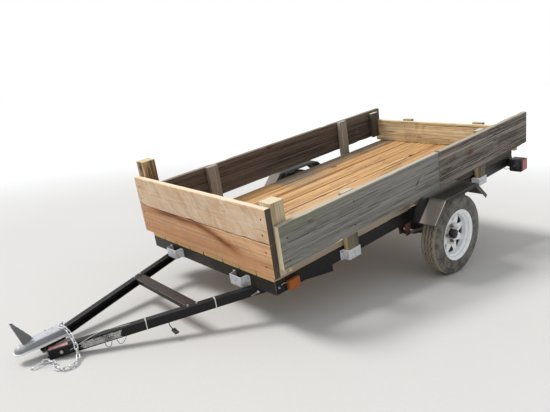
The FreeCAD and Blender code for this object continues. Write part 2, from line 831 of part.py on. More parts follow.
def axle_beam():
    """Square tube with a spring pad near each end and a round spindle into each hub."""
    hub_back = wheel_y + rim_flange_half_width - disc_inset - disc_wall
    beam_half = hub_back - hub_barrel_length - axle_end_gap
    beam = box(wheel_x - axle_half, wheel_x + axle_half, -beam_half, beam_half,
               -axle_drop - axle_half, -axle_drop + axle_half)
    spindle_half = hub_back + hub_cap_length - 2 * hub_cap_wall
    spindle = cylinder((wheel_x, -spindle_half, -axle_drop), (0, 1, 0), spindle_radius, 2 * spindle_half)
    shapes = [beam, spindle]
    for side in (-1, 1):
        shapes.append(box(wheel_x - spring_pad_half, wheel_x + spring_pad_half,
                          side * (spring_y() - spring_width / 2), side * (spring_y() + spring_width / 2),
                          -axle_drop, -axle_drop + axle_half + spring_pad))
    return fuse(shapes)


def spring_y():
    return half_width - rail_flange / 2


def spring_rise(x):
    """How far a leaf has bent up at a distance from the axle."""
    return spring_arch * (x / spring_half_length) ** 2


def spring_left():
    """Leaf pack: leaves stacked on the axle's pad, the longest bent up to its two eyes."""
    y0 = spring_y() - spring_width / 2
    seat = -axle_drop + axle_half + spring_pad
    top = seat + spring_leaf * len(leaf_half_lengths)
    outline = []
    for step in range(spring_bends + 1):
        x = spring_half_length * (1 - 2 * step / spring_bends)
        outline.append((x, top + spring_rise(x)))
    # Under the longest leaf, down a step at the end of each shorter one, and flat on the pad
    under = [(-spring_pad_half, seat)]
    for index, half in enumerate(leaf_half_lengths[::-1]):
        low = seat + index * spring_leaf + spring_rise(half)
        under.extend([(-half, low), (-half, low + spring_leaf)])
    under.pop()
    outline.extend(under[::-1] + [(-x, z) for x, z in under])
    pack = [prism([(wheel_x + x, y0, z) for x, z in outline], (0, spring_width, 0))]
    eye_z = top + spring_arch + spring_eye_radius - spring_leaf
    for side in (-1, 1):
        pack.append(rod((wheel_x + side * spring_half_length, y0, eye_z), (0, 1, 0),
                        spring_eye_radius, spring_width))
    pack = fuse(pack)
    for side in (-1, 1):
        pack = pack.cut(rod((wheel_x + side * spring_half_length, y0 - 1, eye_z), (0, 1, 0),
                            spring_eye_hole, spring_width + 2))
    return pack, eye_z


def spring_hangers_left(eye_z):
    """Two-cheek hangers welded under the rail, each with the bolt that holds a spring eye."""
    hangers = []
    y = spring_y()
    inner = spring_width / 2 + 1.0
    outer = inner + hanger_wall
    for side in (-1, 1):
        x = wheel_x + side * spring_half_length
        top_plate = box(x - hanger_top_half, x + hanger_top_half, y - outer, y + outer,
                        -rail_height - hanger_wall, -rail_height)
        shapes = [top_plate]
        for cheek in (-1, 1):
            a = y + cheek * inner
            b = y + cheek * outer
            low = eye_z - hanger_foot_half
            shapes.append(prism([(x - hanger_top_half, min(a, b), -rail_height),
                                 (x + hanger_top_half, min(a, b), -rail_height),
                                 (x + hanger_foot_half, min(a, b), low), (x - hanger_foot_half, min(a, b), low)],
                                (0, hanger_wall, 0)))
        shapes.append(rod((x, y - outer - hanger_bolt_proud, eye_z), (0, 1, 0),
                          spring_eye_hole - hanger_bolt_gap, 2 * (outer + hanger_bolt_proud)))
        hangers.append(fuse(shapes))
    return hangers


def spring_clamps_left():
    """Plate over the leaves and two square-cornered U-bolts round the axle."""
    y = spring_y()
    half = spring_width / 2
    thick = clamp_rod_radius
    top = -axle_drop + axle_half + spring_pad + spring_leaf * len(leaf_half_lengths)
    top += spring_rise(clamp_plate_half) + clamp_gap
    plate = box(wheel_x - clamp_plate_half, wheel_x + clamp_plate_half,
                y - half - 3 * thick, y + half + 3 * thick, top, top + spring_leaf)
    shapes = [plate]
    reach = axle_half + thick + clamp_gap
    low = -axle_drop - axle_half - thick - clamp_gap
    for across in (-1, 1):
        rod_y = y + across * (half + thick + clamp_gap)
        for side in (-1, 1):
            shapes.append(rod((wheel_x + side * reach, rod_y, low), (0, 0, 1), thick, top + 3 * thick - low))
        shapes.append(rod((wheel_x - reach - thick, rod_y, low), (1, 0, 0), thick, 2 * (reach + thick)))
    return fuse(shapes)


def side_marker_left():
    x1 = marker_front_x
    x0 = x1 - marker_length
    body = box(x0, x1, half_width, half_width + marker_depth, marker_top - marker_height, marker_top)
    rim = [edge for edge in body.Edges if edge.CenterOfMass.y > half_width + marker_depth - 0.1]
    return body.makeChamfer(marker_edge, rim)


def tail_lamp_left():
    """Square housing on a bent bracket that is bolted to the side rail."""
    x1 = lamp_front_x
    x0 = x1 - lamp_depth
    housing = box(x0, x1, lamp_inner_y, lamp_inner_y + lamp_width, lamp_top - lamp_height, lamp_top)
    housing = housing.makeChamfer(lamp_edge, long_edges(housing, Vector(1, 0, 0)))
    thick = lamp_bracket_thickness
    low = lamp_top - lamp_bracket_size
    leg = box(x1 - lamp_bracket_size, x1 + thick, half_width, half_width + thick, low, lamp_top)
    face = box(x1, x1 + thick, half_width, lamp_inner_y + lamp_width / 2, low, lamp_top)
    return fuse([housing, leg, face])


def tail_lens_left():
    x1 = lamp_front_x - lamp_depth
    inset = lens_inset
    lens = box(x1 - lens_depth, x1, lamp_inner_y + inset, lamp_inner_y + lamp_width - inset,
               lamp_top - lamp_height + inset, lamp_top - inset)
    rim = [edge for edge in lens.Edges if edge.CenterOfMass.x < x1 - lens_depth + 0.1]
    return lens.makeChamfer(lens_edge, rim)


def floor_tilt():
    """Nose-down angle at which the tyre and the tongue's lower front edge share one floor."""
    run = arm_front_x - wheel_x
    rise = arm_bottom + axle_drop
    return math.atan2(rise, run) + math.asin(tyre_radius / math.hypot(run, rise))


def build_pieces():
    front_rail, rear_rail = end_rails()
    pieces["front_rail"] = front_rail
    pieces["rear_rail"] = rear_rail
    pieces["side_rail_left"] = side_rail_left()
    pieces["side_rail_right"] = mirrored(pieces["side_rail_left"])
    pieces["crossmembers"] = crossmembers()
    pieces["tongue_arm_left"] = tongue_arm_left()
    pieces["tongue_arm_right"] = mirrored(pieces["tongue_arm_left"])
    pieces["tongue_brace"] = tongue_brace()
    pieces["tongue_spacer"] = tongue_spacer()
    pieces["coupler_body"] = coupler_body()
    pieces["coupler_latch"] = coupler_latch()
    pieces["front_stake_pockets"] = front_pockets()
    pieces["left_stake_pockets"] = left_pockets()
    pieces["right_stake_pockets"] = mirrored(pieces["left_stake_pockets"])
    pieces["rear_stake_pockets"] = rear_pockets()
    pieces["left_stakes"] = left_stakes()
    pieces["right_stakes"] = mirrored(pieces["left_stakes"])
    pieces["rear_stakes"] = rear_stakes()
    pieces["deck_planks"] = deck_planks()
    sides_and_panels()
    pieces["axle_beam"] = axle_beam()
    spring, eye_z = spring_left()
    pieces["spring_left"] = spring
    pieces["spring_right"] = mirrored(spring)
    hangers = spring_hangers_left(eye_z)
    pieces["spring_hangers"] = Part.makeCompound(hangers + [mirrored(hanger) for hanger in hangers])
    clamps = spring_clamps_left()
    pieces["spring_clamps"] = Part.makeCompound([clamps, mirrored(clamps)])
    pieces["fender_left"] = fender_left()
    pieces["fender_right"] = mirrored(pieces["fender_left"])
    brackets = fender_brackets_left()
    pieces["fender_brackets"] = Part.makeCompound(brackets + [mirrored(bracket) for bracket in brackets])
    marker = side_marker_left()
    pieces["side_markers"] = Part.makeCompound([marker, mirrored(marker)])
    lamp = tail_lamp_left()
    pieces["tail_lamps"] = Part.makeCompound([lamp, mirrored(lamp)])
    lens = tail_lens_left()
    pieces["tail_lenses"] = Part.makeCompound([lens, mirrored(lens)])
    for name, wheel_piece in (("tyre", tyre_left()), ("rim", rim_left()), ("hub", hub_left())):
        pieces[name + "_left"] = wheel_piece
        pieces[name + "_right"] = mirrored(wheel_piece)


def tip_over():
    for name in pieces:
        shape = pieces[name].copy()
        shape.rotate(wheel_centre, Vector(0, 1, 0), park_angle)
        pieces[name] = shape


def set_origin():
    """Puts the origin on the floor under the middle of the parked trailer's box."""
    whole = Part.makeCompound([shape for name, shape in pieces.items() if name not in loose_pieces])
    bounds = whole.optimalBoundingBox(False)
    shift = Vector(-(bounds.XMin + bounds.XMax) / 2, 0, axle_drop + tyre_radius)
    for name in pieces:
        pieces[name].translate(shift)


def export():
    os.makedirs("parts", exist_ok=True)
    for name, shape in pieces.items():
        shape.exportStep("parts/" + name + ".step")


park_angle = math.degrees(floor_tilt())
wheel_centre = Vector(wheel_x, 0, -axle_drop)
loose_pieces = ("plug_lead", "wiring_plug")
build_pieces()
tip_over()
pieces["safety_chains"] = Part.makeCompound(safety_chains())
pieces["plug_lead"], pieces["wiring_plug"] = plug_and_lead()
set_origin()
export()
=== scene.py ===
import math
import random

import bmesh
import bpy
from mathutils import Matrix, Vector, noise


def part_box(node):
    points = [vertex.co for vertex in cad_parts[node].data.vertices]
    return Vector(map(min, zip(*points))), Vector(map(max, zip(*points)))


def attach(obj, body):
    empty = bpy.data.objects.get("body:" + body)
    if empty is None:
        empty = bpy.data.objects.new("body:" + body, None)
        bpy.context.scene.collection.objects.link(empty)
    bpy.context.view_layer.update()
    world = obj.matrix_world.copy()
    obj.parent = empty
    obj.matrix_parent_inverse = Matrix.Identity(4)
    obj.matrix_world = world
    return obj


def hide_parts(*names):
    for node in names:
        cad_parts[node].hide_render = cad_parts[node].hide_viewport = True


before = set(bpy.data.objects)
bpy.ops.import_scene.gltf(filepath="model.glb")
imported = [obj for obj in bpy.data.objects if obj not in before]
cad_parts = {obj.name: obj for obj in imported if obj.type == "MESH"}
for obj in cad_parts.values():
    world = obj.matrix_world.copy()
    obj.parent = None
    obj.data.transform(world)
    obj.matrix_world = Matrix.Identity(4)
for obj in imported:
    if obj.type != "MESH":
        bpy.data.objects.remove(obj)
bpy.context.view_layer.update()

# The trailer is drawn level, then tipped nose down about its axle and set on the floor
PARK_ANGLE = math.radians(9.0659)
AXLE = Vector((-1.411, 0, -0.243))
PARKED_AXLE = Vector((-0.745433, 0, 0.262))
PARKED = Matrix.Translation(PARKED_AXLE) @ Matrix.Rotation(PARK_ANGLE, 4, "Y") @ Matrix.Translation(-AXLE)
LEVEL = PARKED.inverted()
MILLIMETRES = Matrix.Scale(0.001, 4)
LEVEL_MILLIMETRES = PARKED @ MILLIMETRES
WHEEL_Y = 0.715
SIDES = ((1, "left"), (-1, "right"))
FULL_TURN = 6.2832
FINISH = {}

random.seed(7)


class Field:
    """A node socket that takes part in Python arithmetic."""

    def __init__(self, finish, socket):
        self.finish = finish
        self.socket = socket

    def calculate(self, operation, first, second=0):
        return self.finish.node("ShaderNodeMath", {"operation": operation}, {0: first, 1: second})

    def __add__(self, other):
        return self.calculate("ADD", self, other)

    def __radd__(self, other):
        return self.calculate("ADD", other, self)

    def __sub__(self, other):
        return self.calculate("SUBTRACT", self, other)

    def __rsub__(self, other):
        return self.calculate("SUBTRACT", other, self)

    def __mul__(self, other):
        return self.calculate("MULTIPLY", self, other)

    def __gt__(self, other):
        return self.calculate("GREATER_THAN", self, other)

    def __lt__(self, other):
        return self.calculate("LESS_THAN", self, other)

    def __abs__(self):
        return self.calculate("ABSOLUTE", self)

    def function(self, operation, other=0):
        return self.calculate(operation, self, other)

    def parts(self):
        """The x, y and z of a vector."""
        split = self.finish.node("ShaderNodeSeparateXYZ", {}, {0: self})
        return [Field(self.finish, output) for output in split.socket.node.outputs]

    def grain(self, scale, detail=4, roughness=0.55, distortion=0):
        """Noise at this place."""
        return self.finish.node("ShaderNodeTexNoise", {}, {"Vector": self, "Scale": scale, "Detail": detail,
                                                           "Roughness": roughness, "Distortion": distortion})

    def fade(self, low, high):
        """0 below low, 1 above high, smooth between; the other way round where high is below low."""
        return self.finish.node("ShaderNodeMapRange", {"interpolation_type": "SMOOTHSTEP"},
                                {"Value": self, "From Min": low, "From Max": high})


class Finish:
    """One material: a Principled surface whose colour, roughness and relief come from fields."""

    def __init__(self, name, **constants):
        FINISH[name] = bpy.data.materials.new(name)
        FINISH[name].use_nodes = True
        self.tree = FINISH[name].node_tree
        self.surface = self.tree.nodes["Principled BSDF"]
        for socket, value in constants.items():
            self.surface.inputs[socket.replace("_", " ")].default_value = value

    def node(self, kind, settings, sockets, output=0):
        made = self.tree.nodes.new(kind)
        for setting, value in settings.items():
            setattr(made, setting, value)
        for socket, value in sockets.items():
            self.feed(made.inputs[socket], value)
        return Field(self, made.outputs[output])

    def feed(self, socket, value):
        if isinstance(value, Field):
            self.tree.links.new(value.socket, socket)
        elif isinstance(value, tuple) and len(value) == 3 and socket.type == "RGBA":
            socket.default_value = (*value, 1)
        else:
            socket.default_value = value

    def place(self):
        """Position on the level trailer, in metres."""
        here = self.node("ShaderNodeTexCoord", {}, {}, "Object")
        return self.node("ShaderNodeMapping", {"vector_type": "POINT"},
                         {"Vector": here, "Location": tuple(LEVEL.translation),
                          "Rotation": (0, -PARK_ANGLE, 0)})

    def join(self, x, y, z):
        return self.node("ShaderNodeCombineXYZ", {}, {0: x, 1: y, 2: z})

    def stretch(self, vector, scale):
        return self.node("ShaderNodeVectorMath", {"operation": "MULTIPLY"}, {0: vector, 1: scale})

    def cells(self, vector, scale, output="Distance"):
        return self.node("ShaderNodeTexVoronoi", {}, {"Vector": vector, "Scale": scale}, output)

    def chance(self, vector):
        return self.node("ShaderNodeTexWhiteNoise", {"noise_dimensions": "3D"}, {"Vector": vector})

    def blend(self, under, over, mask):
        return self.node("ShaderNodeMix", {"data_type": "RGBA"}, {"Factor": mask, 6: under, 7: over}, 2)

    def upward(self):
        return self.node("ShaderNodeNewGeometry", {}, {}, "Normal").parts()[2]

    def facing(self, along):
        """1 where the face looks along a level axis, either way: the cut ends of a board."""
        normal = self.node("ShaderNodeNewGeometry", {}, {}, "Normal")
        axis = tuple(PARKED.to_3x3() @ Vector([1 if name == along else 0 for name in "xyz"]))
        share = self.node("ShaderNodeVectorMath", {"operation": "DOT_PRODUCT"}, {0: normal, 1: axis}, "Value")
        return abs(share).fade(0.72, 0.9)

    def rounded_edge(self):
        """1 on the rounded edges of a piece, where its coat rubs off first."""
        return self.node("ShaderNodeAttribute", {"attribute_name": "rounded_edge"}, {}, "Fac")

    def cover(self, colour, roughness, relief, depth, metallic=0):
        bump = self.node("ShaderNodeBump", {}, {"Height": relief, "Distance": depth, "Strength": 1}, "Normal")
        for socket, value in (("Base Color", colour), ("Roughness", roughness), ("Metallic", metallic),
                              ("Normal", bump)):
            self.feed(self.surface.inputs[socket], value)


def distance(x, y):
    return (x * x + y * y).function("SQRT")


def timber(name, along, pale, deep, weathered, end, weather, rings, streaks, checks, knots, bleach_and_top_light, seed,
           *stains):
    """Sawn softwood: growth rings cut by the face, fibres, knots, checks, grey weathering and end grain."""
    finish = Finish(name)
    place = finish.place()
    x, y, z = place.parts()
    run, across, thick = {"x": (x, y, z), "y": (y, x, z), "z": (z, x, y)}[along]
    # Each board is another piece of the log
    board = finish.chance(finish.join((run * 0) + seed, (across * 6.45 + 0.5).function("FLOOR"),
                                      (thick * 4 + seed).function("FLOOR")))
    shift = board * 7 + seed
    wander = finish.join(run * 0.8 + shift, across * 2, thick * 2).grain(1.4, 2)
    side = across + (wander - 0.5) * 0.13 + board * 0.06 + 0.01
    depth = thick + (wander - 0.5) * 0.05 + 0.05
    radius = distance(side, depth)
    knot_place = finish.join(run * 4.2 + shift, across * 9, thick * 9 + board * 3)
    knot_distance = finish.cells(knot_place, 1)
    drawn = finish.cells(knot_place, 1, "Color").parts()[0] < 0.3 * knots
    knot = knot_distance.fade(0.19, 0.1) * drawn
    near_knot = knot_distance.fade(0.5, 0.12) * drawn
    ring = ((radius * 120 + near_knot * 2.2) * FULL_TURN).function("SINE").fade(-0.3, 0.95)
    fibre = finish.join(run * 6 + shift, across * 320, thick * 320).grain(1, 4, 0.6)
    streak = finish.join(run * 0.9 + shift, across * 42, thick * 42).grain(1, 5, 0.62)
    band = finish.join(run * 0.5 + shift, across * 12, thick * 12).grain(1, 3, 0.5)
    blotch = finish.join(run * 1.8 + shift, across * 5, thick * 6).grain(2, 5, 0.62)
    line = finish.join(run * 0.45 + shift, across * 135, thick * 135).grain(1, 3, 0.55)
    check_place = finish.join(run * 1.9 + shift, across * 95, thick * 95)
    check = check_place.grain(1, 2, 0.5).fade(0.7 - checks * 0.07, 0.73 - checks * 0.06)
    dark = (ring * rings + streak.fade(0.4, 0.6) * streaks + line.fade(0.47, 0.62) * streaks * 0.7
            + fibre * 0.22 + board * 0.16 - 0.1)
    wood = finish.blend(pale, deep, dark)
    grey = (blotch * 0.8 + streak * 0.4 + fibre * 0.15).fade(0.92 - weather, 1.22 - weather)
    wood = finish.blend(wood, weathered, grey * 0.85)
    paler = tuple(min(1, 0.5 * (a + b) * 1.35) for a, b in zip(pale, weathered))
    wood = finish.blend(wood, paler, band.fade(0.5, 0.64) * 0.5 * streaks)
    wood = finish.blend(wood, paler, line.fade(0.46, 0.34) * 0.75 * streaks)
    wood = finish.blend(wood, (0.085, 0.042, 0.022), knot * 0.85 + near_knot * 0.18)
    for stain in stains:
        stained, colour = stain(finish, x, y, z, streak)
        wood = finish.blend(wood, colour, stained)
    wood = finish.blend(wood, (0.035, 0.027, 0.02), check * 0.75)
    grit = place.grain(380, 3, 0.7).fade(0.58, 0.74)
    wood = finish.blend(wood, (0.09, 0.075, 0.06), grit * 0.28)
    if bleach_and_top_light:
        # Faces that look up are paled: partly sun-bleaching, partly a painted highlight for sunlit tops
        up = finish.upward().fade(0.55, 0.95)
        bleached_and_lit_top = tuple(min(0.9, c + 0.62 * w) for c, w in zip((0.5, 0.42, 0.31), weathered))
        wood = finish.blend(wood, bleached_and_lit_top, up * (0.45 + fibre * 0.6) * bleach_and_top_light)
    end_ring = (radius * 260 * FULL_TURN).function("SINE").fade(-0.4, 0.9)
    end_wood = finish.blend(end, tuple(0.45 * c for c in end), end_ring * 0.5 + grit * 0.4)
    relief = fibre * 0.55 + streak * 0.5 - ring * 0.2 - check * 1.5 + knot * 0.3
    finish.cover(finish.blend(wood, end_wood, finish.facing(along)), 0.74 + fibre * 0.18, relief, 0.0014)


def resin_distance(finish, y, z, streak):
    """Distance from the heartwood line that falls from the joint towards the left of the panel."""
    centre = 0.212 - y.fade(-0.02, 0.42) * 0.085
    wander = finish.join(y * 7, z * 60, 2).grain(1, 3, 0.6) - 0.5
    return abs(z - centre + wander * 0.014) * (0.7 + streak * 0.6)


def resin_glow(finish, x, y, z, streak):
    """Orange wood round the heartwood line of the front panel."""
    off = resin_distance(finish, y, z, streak)
    reach = y.fade(-0.6, -0.45) * y.fade(0.46, 0.34)
    return off.fade(0.046, 0.012) * reach * 0.75, (0.37, 0.13, 0.032)


def resin_streak(finish, x, y, z, streak):
    """Dark broken heart of the line, with a second one under the joint to its left."""
    off = resin_distance(finish, y, z, streak)
    reach = y.fade(-0.5, -0.36) * y.fade(0.38, 0.28)
    broken = finish.join(y * 5, z * 170, 6).grain(1, 4, 0.6).fade(0.3, 0.5)
    heart = off.fade(0.021, 0.005) * reach * broken
    under = abs(z - 0.244).fade(0.014, 0.004) * y.fade(0.02, 0.12)
    return heart * 0.88 + under * broken * 0.6, (0.13, 0.04, 0.012)


def slanting_mottle(finish, y, z, slope, seed):
    """Soft cloudy strokes left slantwise by saw and rain."""
    along = y * math.cos(slope) - z * math.sin(slope)
    across = y * math.sin(slope) + z * math.cos(slope)
    return finish.join(along * 7 + seed, across * 19, seed).grain(1, 5, 0.66, 1.2)


def pale_strokes(finish, x, y, z, streak):
    return slanting_mottle(finish, y, z, 0.7, 3).fade(0.44, 0.68) * 0.5, (0.74, 0.61, 0.45)


def brown_strokes(finish, x, y, z, streak):
    return slanting_mottle(finish, y, z, 0.9, 8).fade(0.44, 0.7) * 0.55, (0.4, 0.25, 0.155)


def ruddy_foot(finish, x, y, z, streak):
    """Redder, damp lower half of the bottom board."""
    low = (z + (streak - 0.5) * 0.05).fade(0.15, 0.105)
    return low * 0.4, (0.42, 0.175, 0.07)


def mossy_corner(finish, x, y, z, streak):
    """Green-grey bloom along the top of the side board's front end, and its dark rear end."""
    moss = x.fade(-0.95, -0.06) * z.fade(0.235, 0.3)
    end = x.fade(-1.34, -1.352)
    return moss * (0.48 + streak.fade(0.4, 0.6) * 0.4) + end * 0.6, (0.15, 0.16, 0.092)


def slit_knot(finish, x, y, z, streak):
    """Narrow dark knot standing in the outer face of the side board, short of its rear end."""
    dx, dz = (x + 1.1245) + (z - 0.1886) * 0.8, (z - 0.1886) * 0.42
    off = distance(dx, dz)
    outer = y.fade(0.68, 0.685)
    return (off.fade(0.0085, 0.0035) * 0.9 + off.fade(0.02, 0.008) * 0.25) * outer, (0.03, 0.022, 0.017)


def far_plank_grey_and_shadow(finish, x, y, z, streak):
    """The far side of the deck is grey from the middle back, partly weathering and partly painted shadow of
    the far board; the outer edges are darkened brown as painted shade.
    """
    wander = (finish.join(x * 4, y * 9, 0).grain(1, 3, 0.6) - 0.5) * 0.1
    behind = (x + wander).fade(-1, -1.12)
    far = (y + wander * 0.5).fade(-0.445, -0.475)
    patch = (y + wander).fade(-0.27, -0.34) * x.fade(-1.5, -1.34)
    grey = behind * (far * 0.85 + patch * 0.5)
    outer = abs(y).fade(0.606, 0.6085)
    worn = finish.join(x * 1.3, y * 5, z * 2).grain(1, 4, 0.6).fade(0.56, 0.7)
    dark = grey * (0.75 + streak.fade(0.4, 0.6) * 0.25) + outer * (0.75 + behind * 0.2)
    dark = dark.function("MINIMUM", 0.92) + worn * (1 - dark.function("MINIMUM", 1)) * 0.3
    return dark, (0.21, 0.17, 0.12)


def dark_rear_sides(finish, x, y, z, streak):
    # Painted shade: the outer side faces of the deck are painted near black towards the rear
    outer = abs(y).fade(0.606, 0.6085)
    return outer * x.fade(-1.25, -1.55) * 0.93, (0.05, 0.042, 0.034)


def pale_near_strip(finish, x, y, z, streak):
    """Strip along the near side of the deck, bleached by sun and feet."""
    strip = y.fade(-0.15, 0.4) * x.fade(-1.8, -0.8)
    return strip * (0.22 + streak.fade(0.36, 0.56) * 0.66), (0.86, 0.75, 0.58)


def post_knot(finish, x, y, z, streak):
    """Black knot near the top of the far corner post's face, with dark grain round it."""
    dy, dz = y + 0.606, (z - 0.466) * 0.6
    off = distance(dy, dz)
    return off.fade(0.013, 0.006) * 0.9 + off.fade(0.035, 0.012) * 0.35, (0.05, 0.024, 0.012)


def lit_narrow_faces(finish, x, y, z, streak):
    """Painted light: the narrow faces of the stakes, which look forwards and back, are painted yellow as lit
    faces.
    """
    return finish.facing("x") * (0.55 + streak.fade(0.4, 0.6) * 0.35), (0.45, 0.33, 0.135)


def shaded_cleat(finish, x, y, z, streak):
    """Painted shade: the far rear cleat is painted nearly black, the near one grey."""
    near = y.fade(-0.1, 0.1)
    behind = x.fade(-2.2, -2.3)
    return behind * (0.92 - near * 0.4), (0.034, 0.031, 0.027)


def painted_steel(name, paint, dust, dustiness, rust, slopes=0):
    """Black enamel: road dust on what looks up, grit, scratches, spots of rust and rubbed edges; on the
    fender ends also painted light and painted shadow.
    """
    finish = Finish(name, Specular_IOR_Level=0.22)
    place = finish.place()
    cloud = place.grain(5, 6, 0.62)
    fine = place.grain(120, 4, 0.6)
    smear = finish.stretch(place, (2, 9, 30)).grain(3, 4, 0.6)
    up = finish.upward().fade(0.3, 0.95)
    settled = cloud * 0.6 + smear * 0.4 + up * 0.2
    if slopes:
        # The bent ends of the fenders catch the spray off the road, put mostly on their outer half; this
        # split is partly painted light and shadow
        x, y, z = place.parts()
        fender_ends = abs(x - AXLE.x).fade(0.17, 0.2)
        outer = abs(y).fade(0.69, 0.7)
        settled = settled + fender_ends * (outer * 2 - 1) * slopes
    dusty = settled.fade(0.7 - dustiness, 1.05 - dustiness)
    flake = place.grain(40, 5, 0.68).fade(0.72 - rust * 0.12, 0.745 - rust * 0.12)
    coat = finish.blend(paint, dust, dusty * 0.75)
    coat = finish.blend(coat, (0.13, 0.055, 0.028), flake * 0.65)
    grit = fine.fade(0.6, 0.7)
    coat = finish.blend(coat, dust, grit * (0.16 + up * 0.25))
    # Rounded edges lightened: partly rubbed paint, partly a painted highlight along the edges
    rubbed_and_highlit_edge = finish.rounded_edge() * (fine + cloud * 0.4).fade(0.5, 0.78)
    coat = finish.blend(coat, (0.3, 0.285, 0.265), rubbed_and_highlit_edge * 0.8)
    rough = 0.46 + dusty * 0.35 + flake * 0.2
    if slopes:
        # Painted light: the outer half of the fender ends, where it looks up, is painted pale brown as if in
        # sun
        painted_sunlit_outer = fender_ends * outer * finish.upward().fade(0.2, 0.4)
        coat = finish.blend(coat, (0.29, 0.25, 0.214), painted_sunlit_outer * (0.45 + cloud * 0.5))
        # Painted shadow: the inner half of the fender ends, under the side board, is painted near black and
        # rougher
        painted_shadow_inner = fender_ends * (1 - outer)
        coat = finish.blend(coat, (0.004, 0.004, 0.005), painted_shadow_inner * 0.9)
        rough = rough + painted_shadow_inner * 0.4
    finish.cover(coat, rough, fine * 0.35 + flake * 0.8 + cloud * 0.3, 0.0005)


def zinc(name, tone, bright, spangle_size, dirt, metallic, painted_side_shade=0, foot=0):
    """Zinc coat: faint crystal spangle, white bloom in the weather, a little grime, bright edges."""
    finish = Finish(name, Specular_IOR_Level=0.35)
    place = finish.place()
    soft = place.grain(50, 3)
    spangle = finish.cells(place, spangle_size, "Color").parts()[0]
    bloom = place.grain(14, 5, 0.65).fade(0.45, 0.72)
    grime = (place.grain(26, 6, 0.7) + soft * 0.15).fade(0.6, 0.8)
    low, high = (0.305, 0.312, 0.322), (0.447, 0.454, 0.464)
    base = finish.blend(tuple(tone * c for c in low), tuple(tone * c for c in high),
                        spangle * 0.6 + soft * 0.4)
    base = finish.blend(base, (0.52 * tone, 0.53 * tone, 0.53 * tone), bloom * 0.4)
    base = finish.blend(base, (0.11, 0.1, 0.09), grime * dirt)
    if painted_side_shade:
        # Painted shade: the sides are darkened against the bright top, and the lip below the foot is painted
        # near white as a painted highlight
        level = place.parts()[2]
        film = finish.upward().fade(0.75, 0.15) * (level > foot) * painted_side_shade
        base = finish.blend(base, (0.105, 0.115, 0.135), film)
        base = finish.blend(base, (0.88, 0.88, 0.86), (level < foot) * 0.75)
    base = finish.blend(base, tuple(min(0.92, 1.7 * tone * c) for c in high), finish.rounded_edge() * 0.7)
    finish.cover(base, bright + spangle * 0.06 + bloom * 0.18 + grime * 0.25, soft * 0.3 + grime * 0.4,
                 0.0003, metallic - bloom * 0.3 - grime * metallic * 0.5)


def wheel_radius(finish):
    """Distance from the axle line, on either wheel, and the place it is measured at."""
    place = finish.node("ShaderNodeTexCoord", {}, {}, "Object")
    x, y, z = place.parts()
    return distance(x - PARKED_AXLE.x, z - PARKED_AXLE.z), place


def rubber():
    finish = Finish("tyre_rubber")
    radius, place = wheel_radius(finish)
    worn = place.grain(16, 6, 0.65)
    fine = place.grain(260, 4, 0.6)
    tread = radius.fade(0.2535, 0.2605)
    dusty = (worn + fine * 0.12 + tread * 0.2).fade(0.34, 0.86)
    coat = finish.blend((0.038, 0.036, 0.032), (0.26, 0.242, 0.208), dusty)
    coat = finish.blend(coat, (0.36, 0.3, 0.215), tread * (worn + fine * 0.3).fade(0.36, 0.74) * 0.9)
    shoulder = radius.fade(0.232, 0.252) * (1 - tread)
    coat = finish.blend(coat, (0.2, 0.165, 0.12), shoulder * worn.fade(0.4, 0.66) * 0.6)
    brown = place.grain(7, 5, 0.6).fade(0.52, 0.72)
    coat = finish.blend(coat, (0.1, 0.08, 0.06), brown * 0.4)
    finish.cover(coat, 0.66 + dusty * 0.26, fine * 0.4 + worn * 0.5, 0.0007)


def rim_paint():
    finish = Finish("white_paint", Coat_Weight=0.15)
    radius, place = wheel_radius(finish)
    cloud = place.grain(18, 6, 0.65)
    fine = place.grain(120, 4, 0.65)
    inside = radius.fade(0.105, 0.05)
    dirt = (cloud + inside * 0.3).fade(0.6, 0.9)
    chips = (fine + cloud * 0.3).fade(0.8, 0.86)
    coat = finish.blend((0.94, 0.96, 0.97), (0.3, 0.25, 0.19), dirt * 0.8)
    coat = finish.blend(coat, (0.2, 0.075, 0.03), chips)
    # Painted shade: behind the disc the wheel is painted near black, standing in for the shade in there
    back = abs(place.parts()[1]).fade(WHEEL_Y - 0.003, WHEEL_Y - 0.011)
    coat = finish.blend(coat, (0.022, 0.018, 0.015), back * 0.95)
    finish.cover(coat, 0.34 + dirt * 0.4, fine * 0.3 - chips * 0.8, 0.0006)


def rusty_steel(name, dark, rust, amount, metallic=0.3):
    finish = Finish(name)
    place = finish.place()
    cloud = place.grain(24, 7, 0.68)
    fine = place.grain(180, 4, 0.6)
    rusty = (cloud + fine * 0.2).fade(0.74 - amount, 0.98 - amount)
    coat = finish.blend(dark, finish.blend(rust, (0.07, 0.035, 0.025), fine), rusty)
    finish.cover(coat, 0.48 + rusty * 0.4, fine * 0.5 + rusty * 0.6, 0.0008, (1 - rusty) * metallic)


def lens(name, body, edge, ribs):
    """Moulded lens: fine prism ribs under a scratched, faded face."""
    finish = Finish(name, Coat_Weight=0.06, Coat_Roughness=0.15, Specular_IOR_Level=0.18)
    place = finish.place()
    x, y, z = place.parts()
    prism = (y * ribs * FULL_TURN).function("SINE") * (z * ribs * FULL_TURN).function("SINE")
    haze = place.grain(40, 5, 0.65).fade(0.45, 0.75)
    coat = finish.blend(finish.blend(body, edge, prism * 0.5 + 0.5), (0.5, 0.36, 0.3), haze * 0.08)
    finish.cover(coat, 0.22 + haze * 0.3, prism, 0.0008)


def plastic(name, body, dust):
    finish = Finish(name)
    place = finish.place()
    cloud = place.grain(20, 6, 0.65)
    fine = place.grain(320, 3, 0.6)
    dusty = (cloud + finish.upward().fade(0.3, 0.95) * 0.25).fade(0.52, 0.88)
    finish.cover(finish.blend(body, dust, dusty * 0.6), 0.45 + dusty * 0.35, fine, 0.0003)


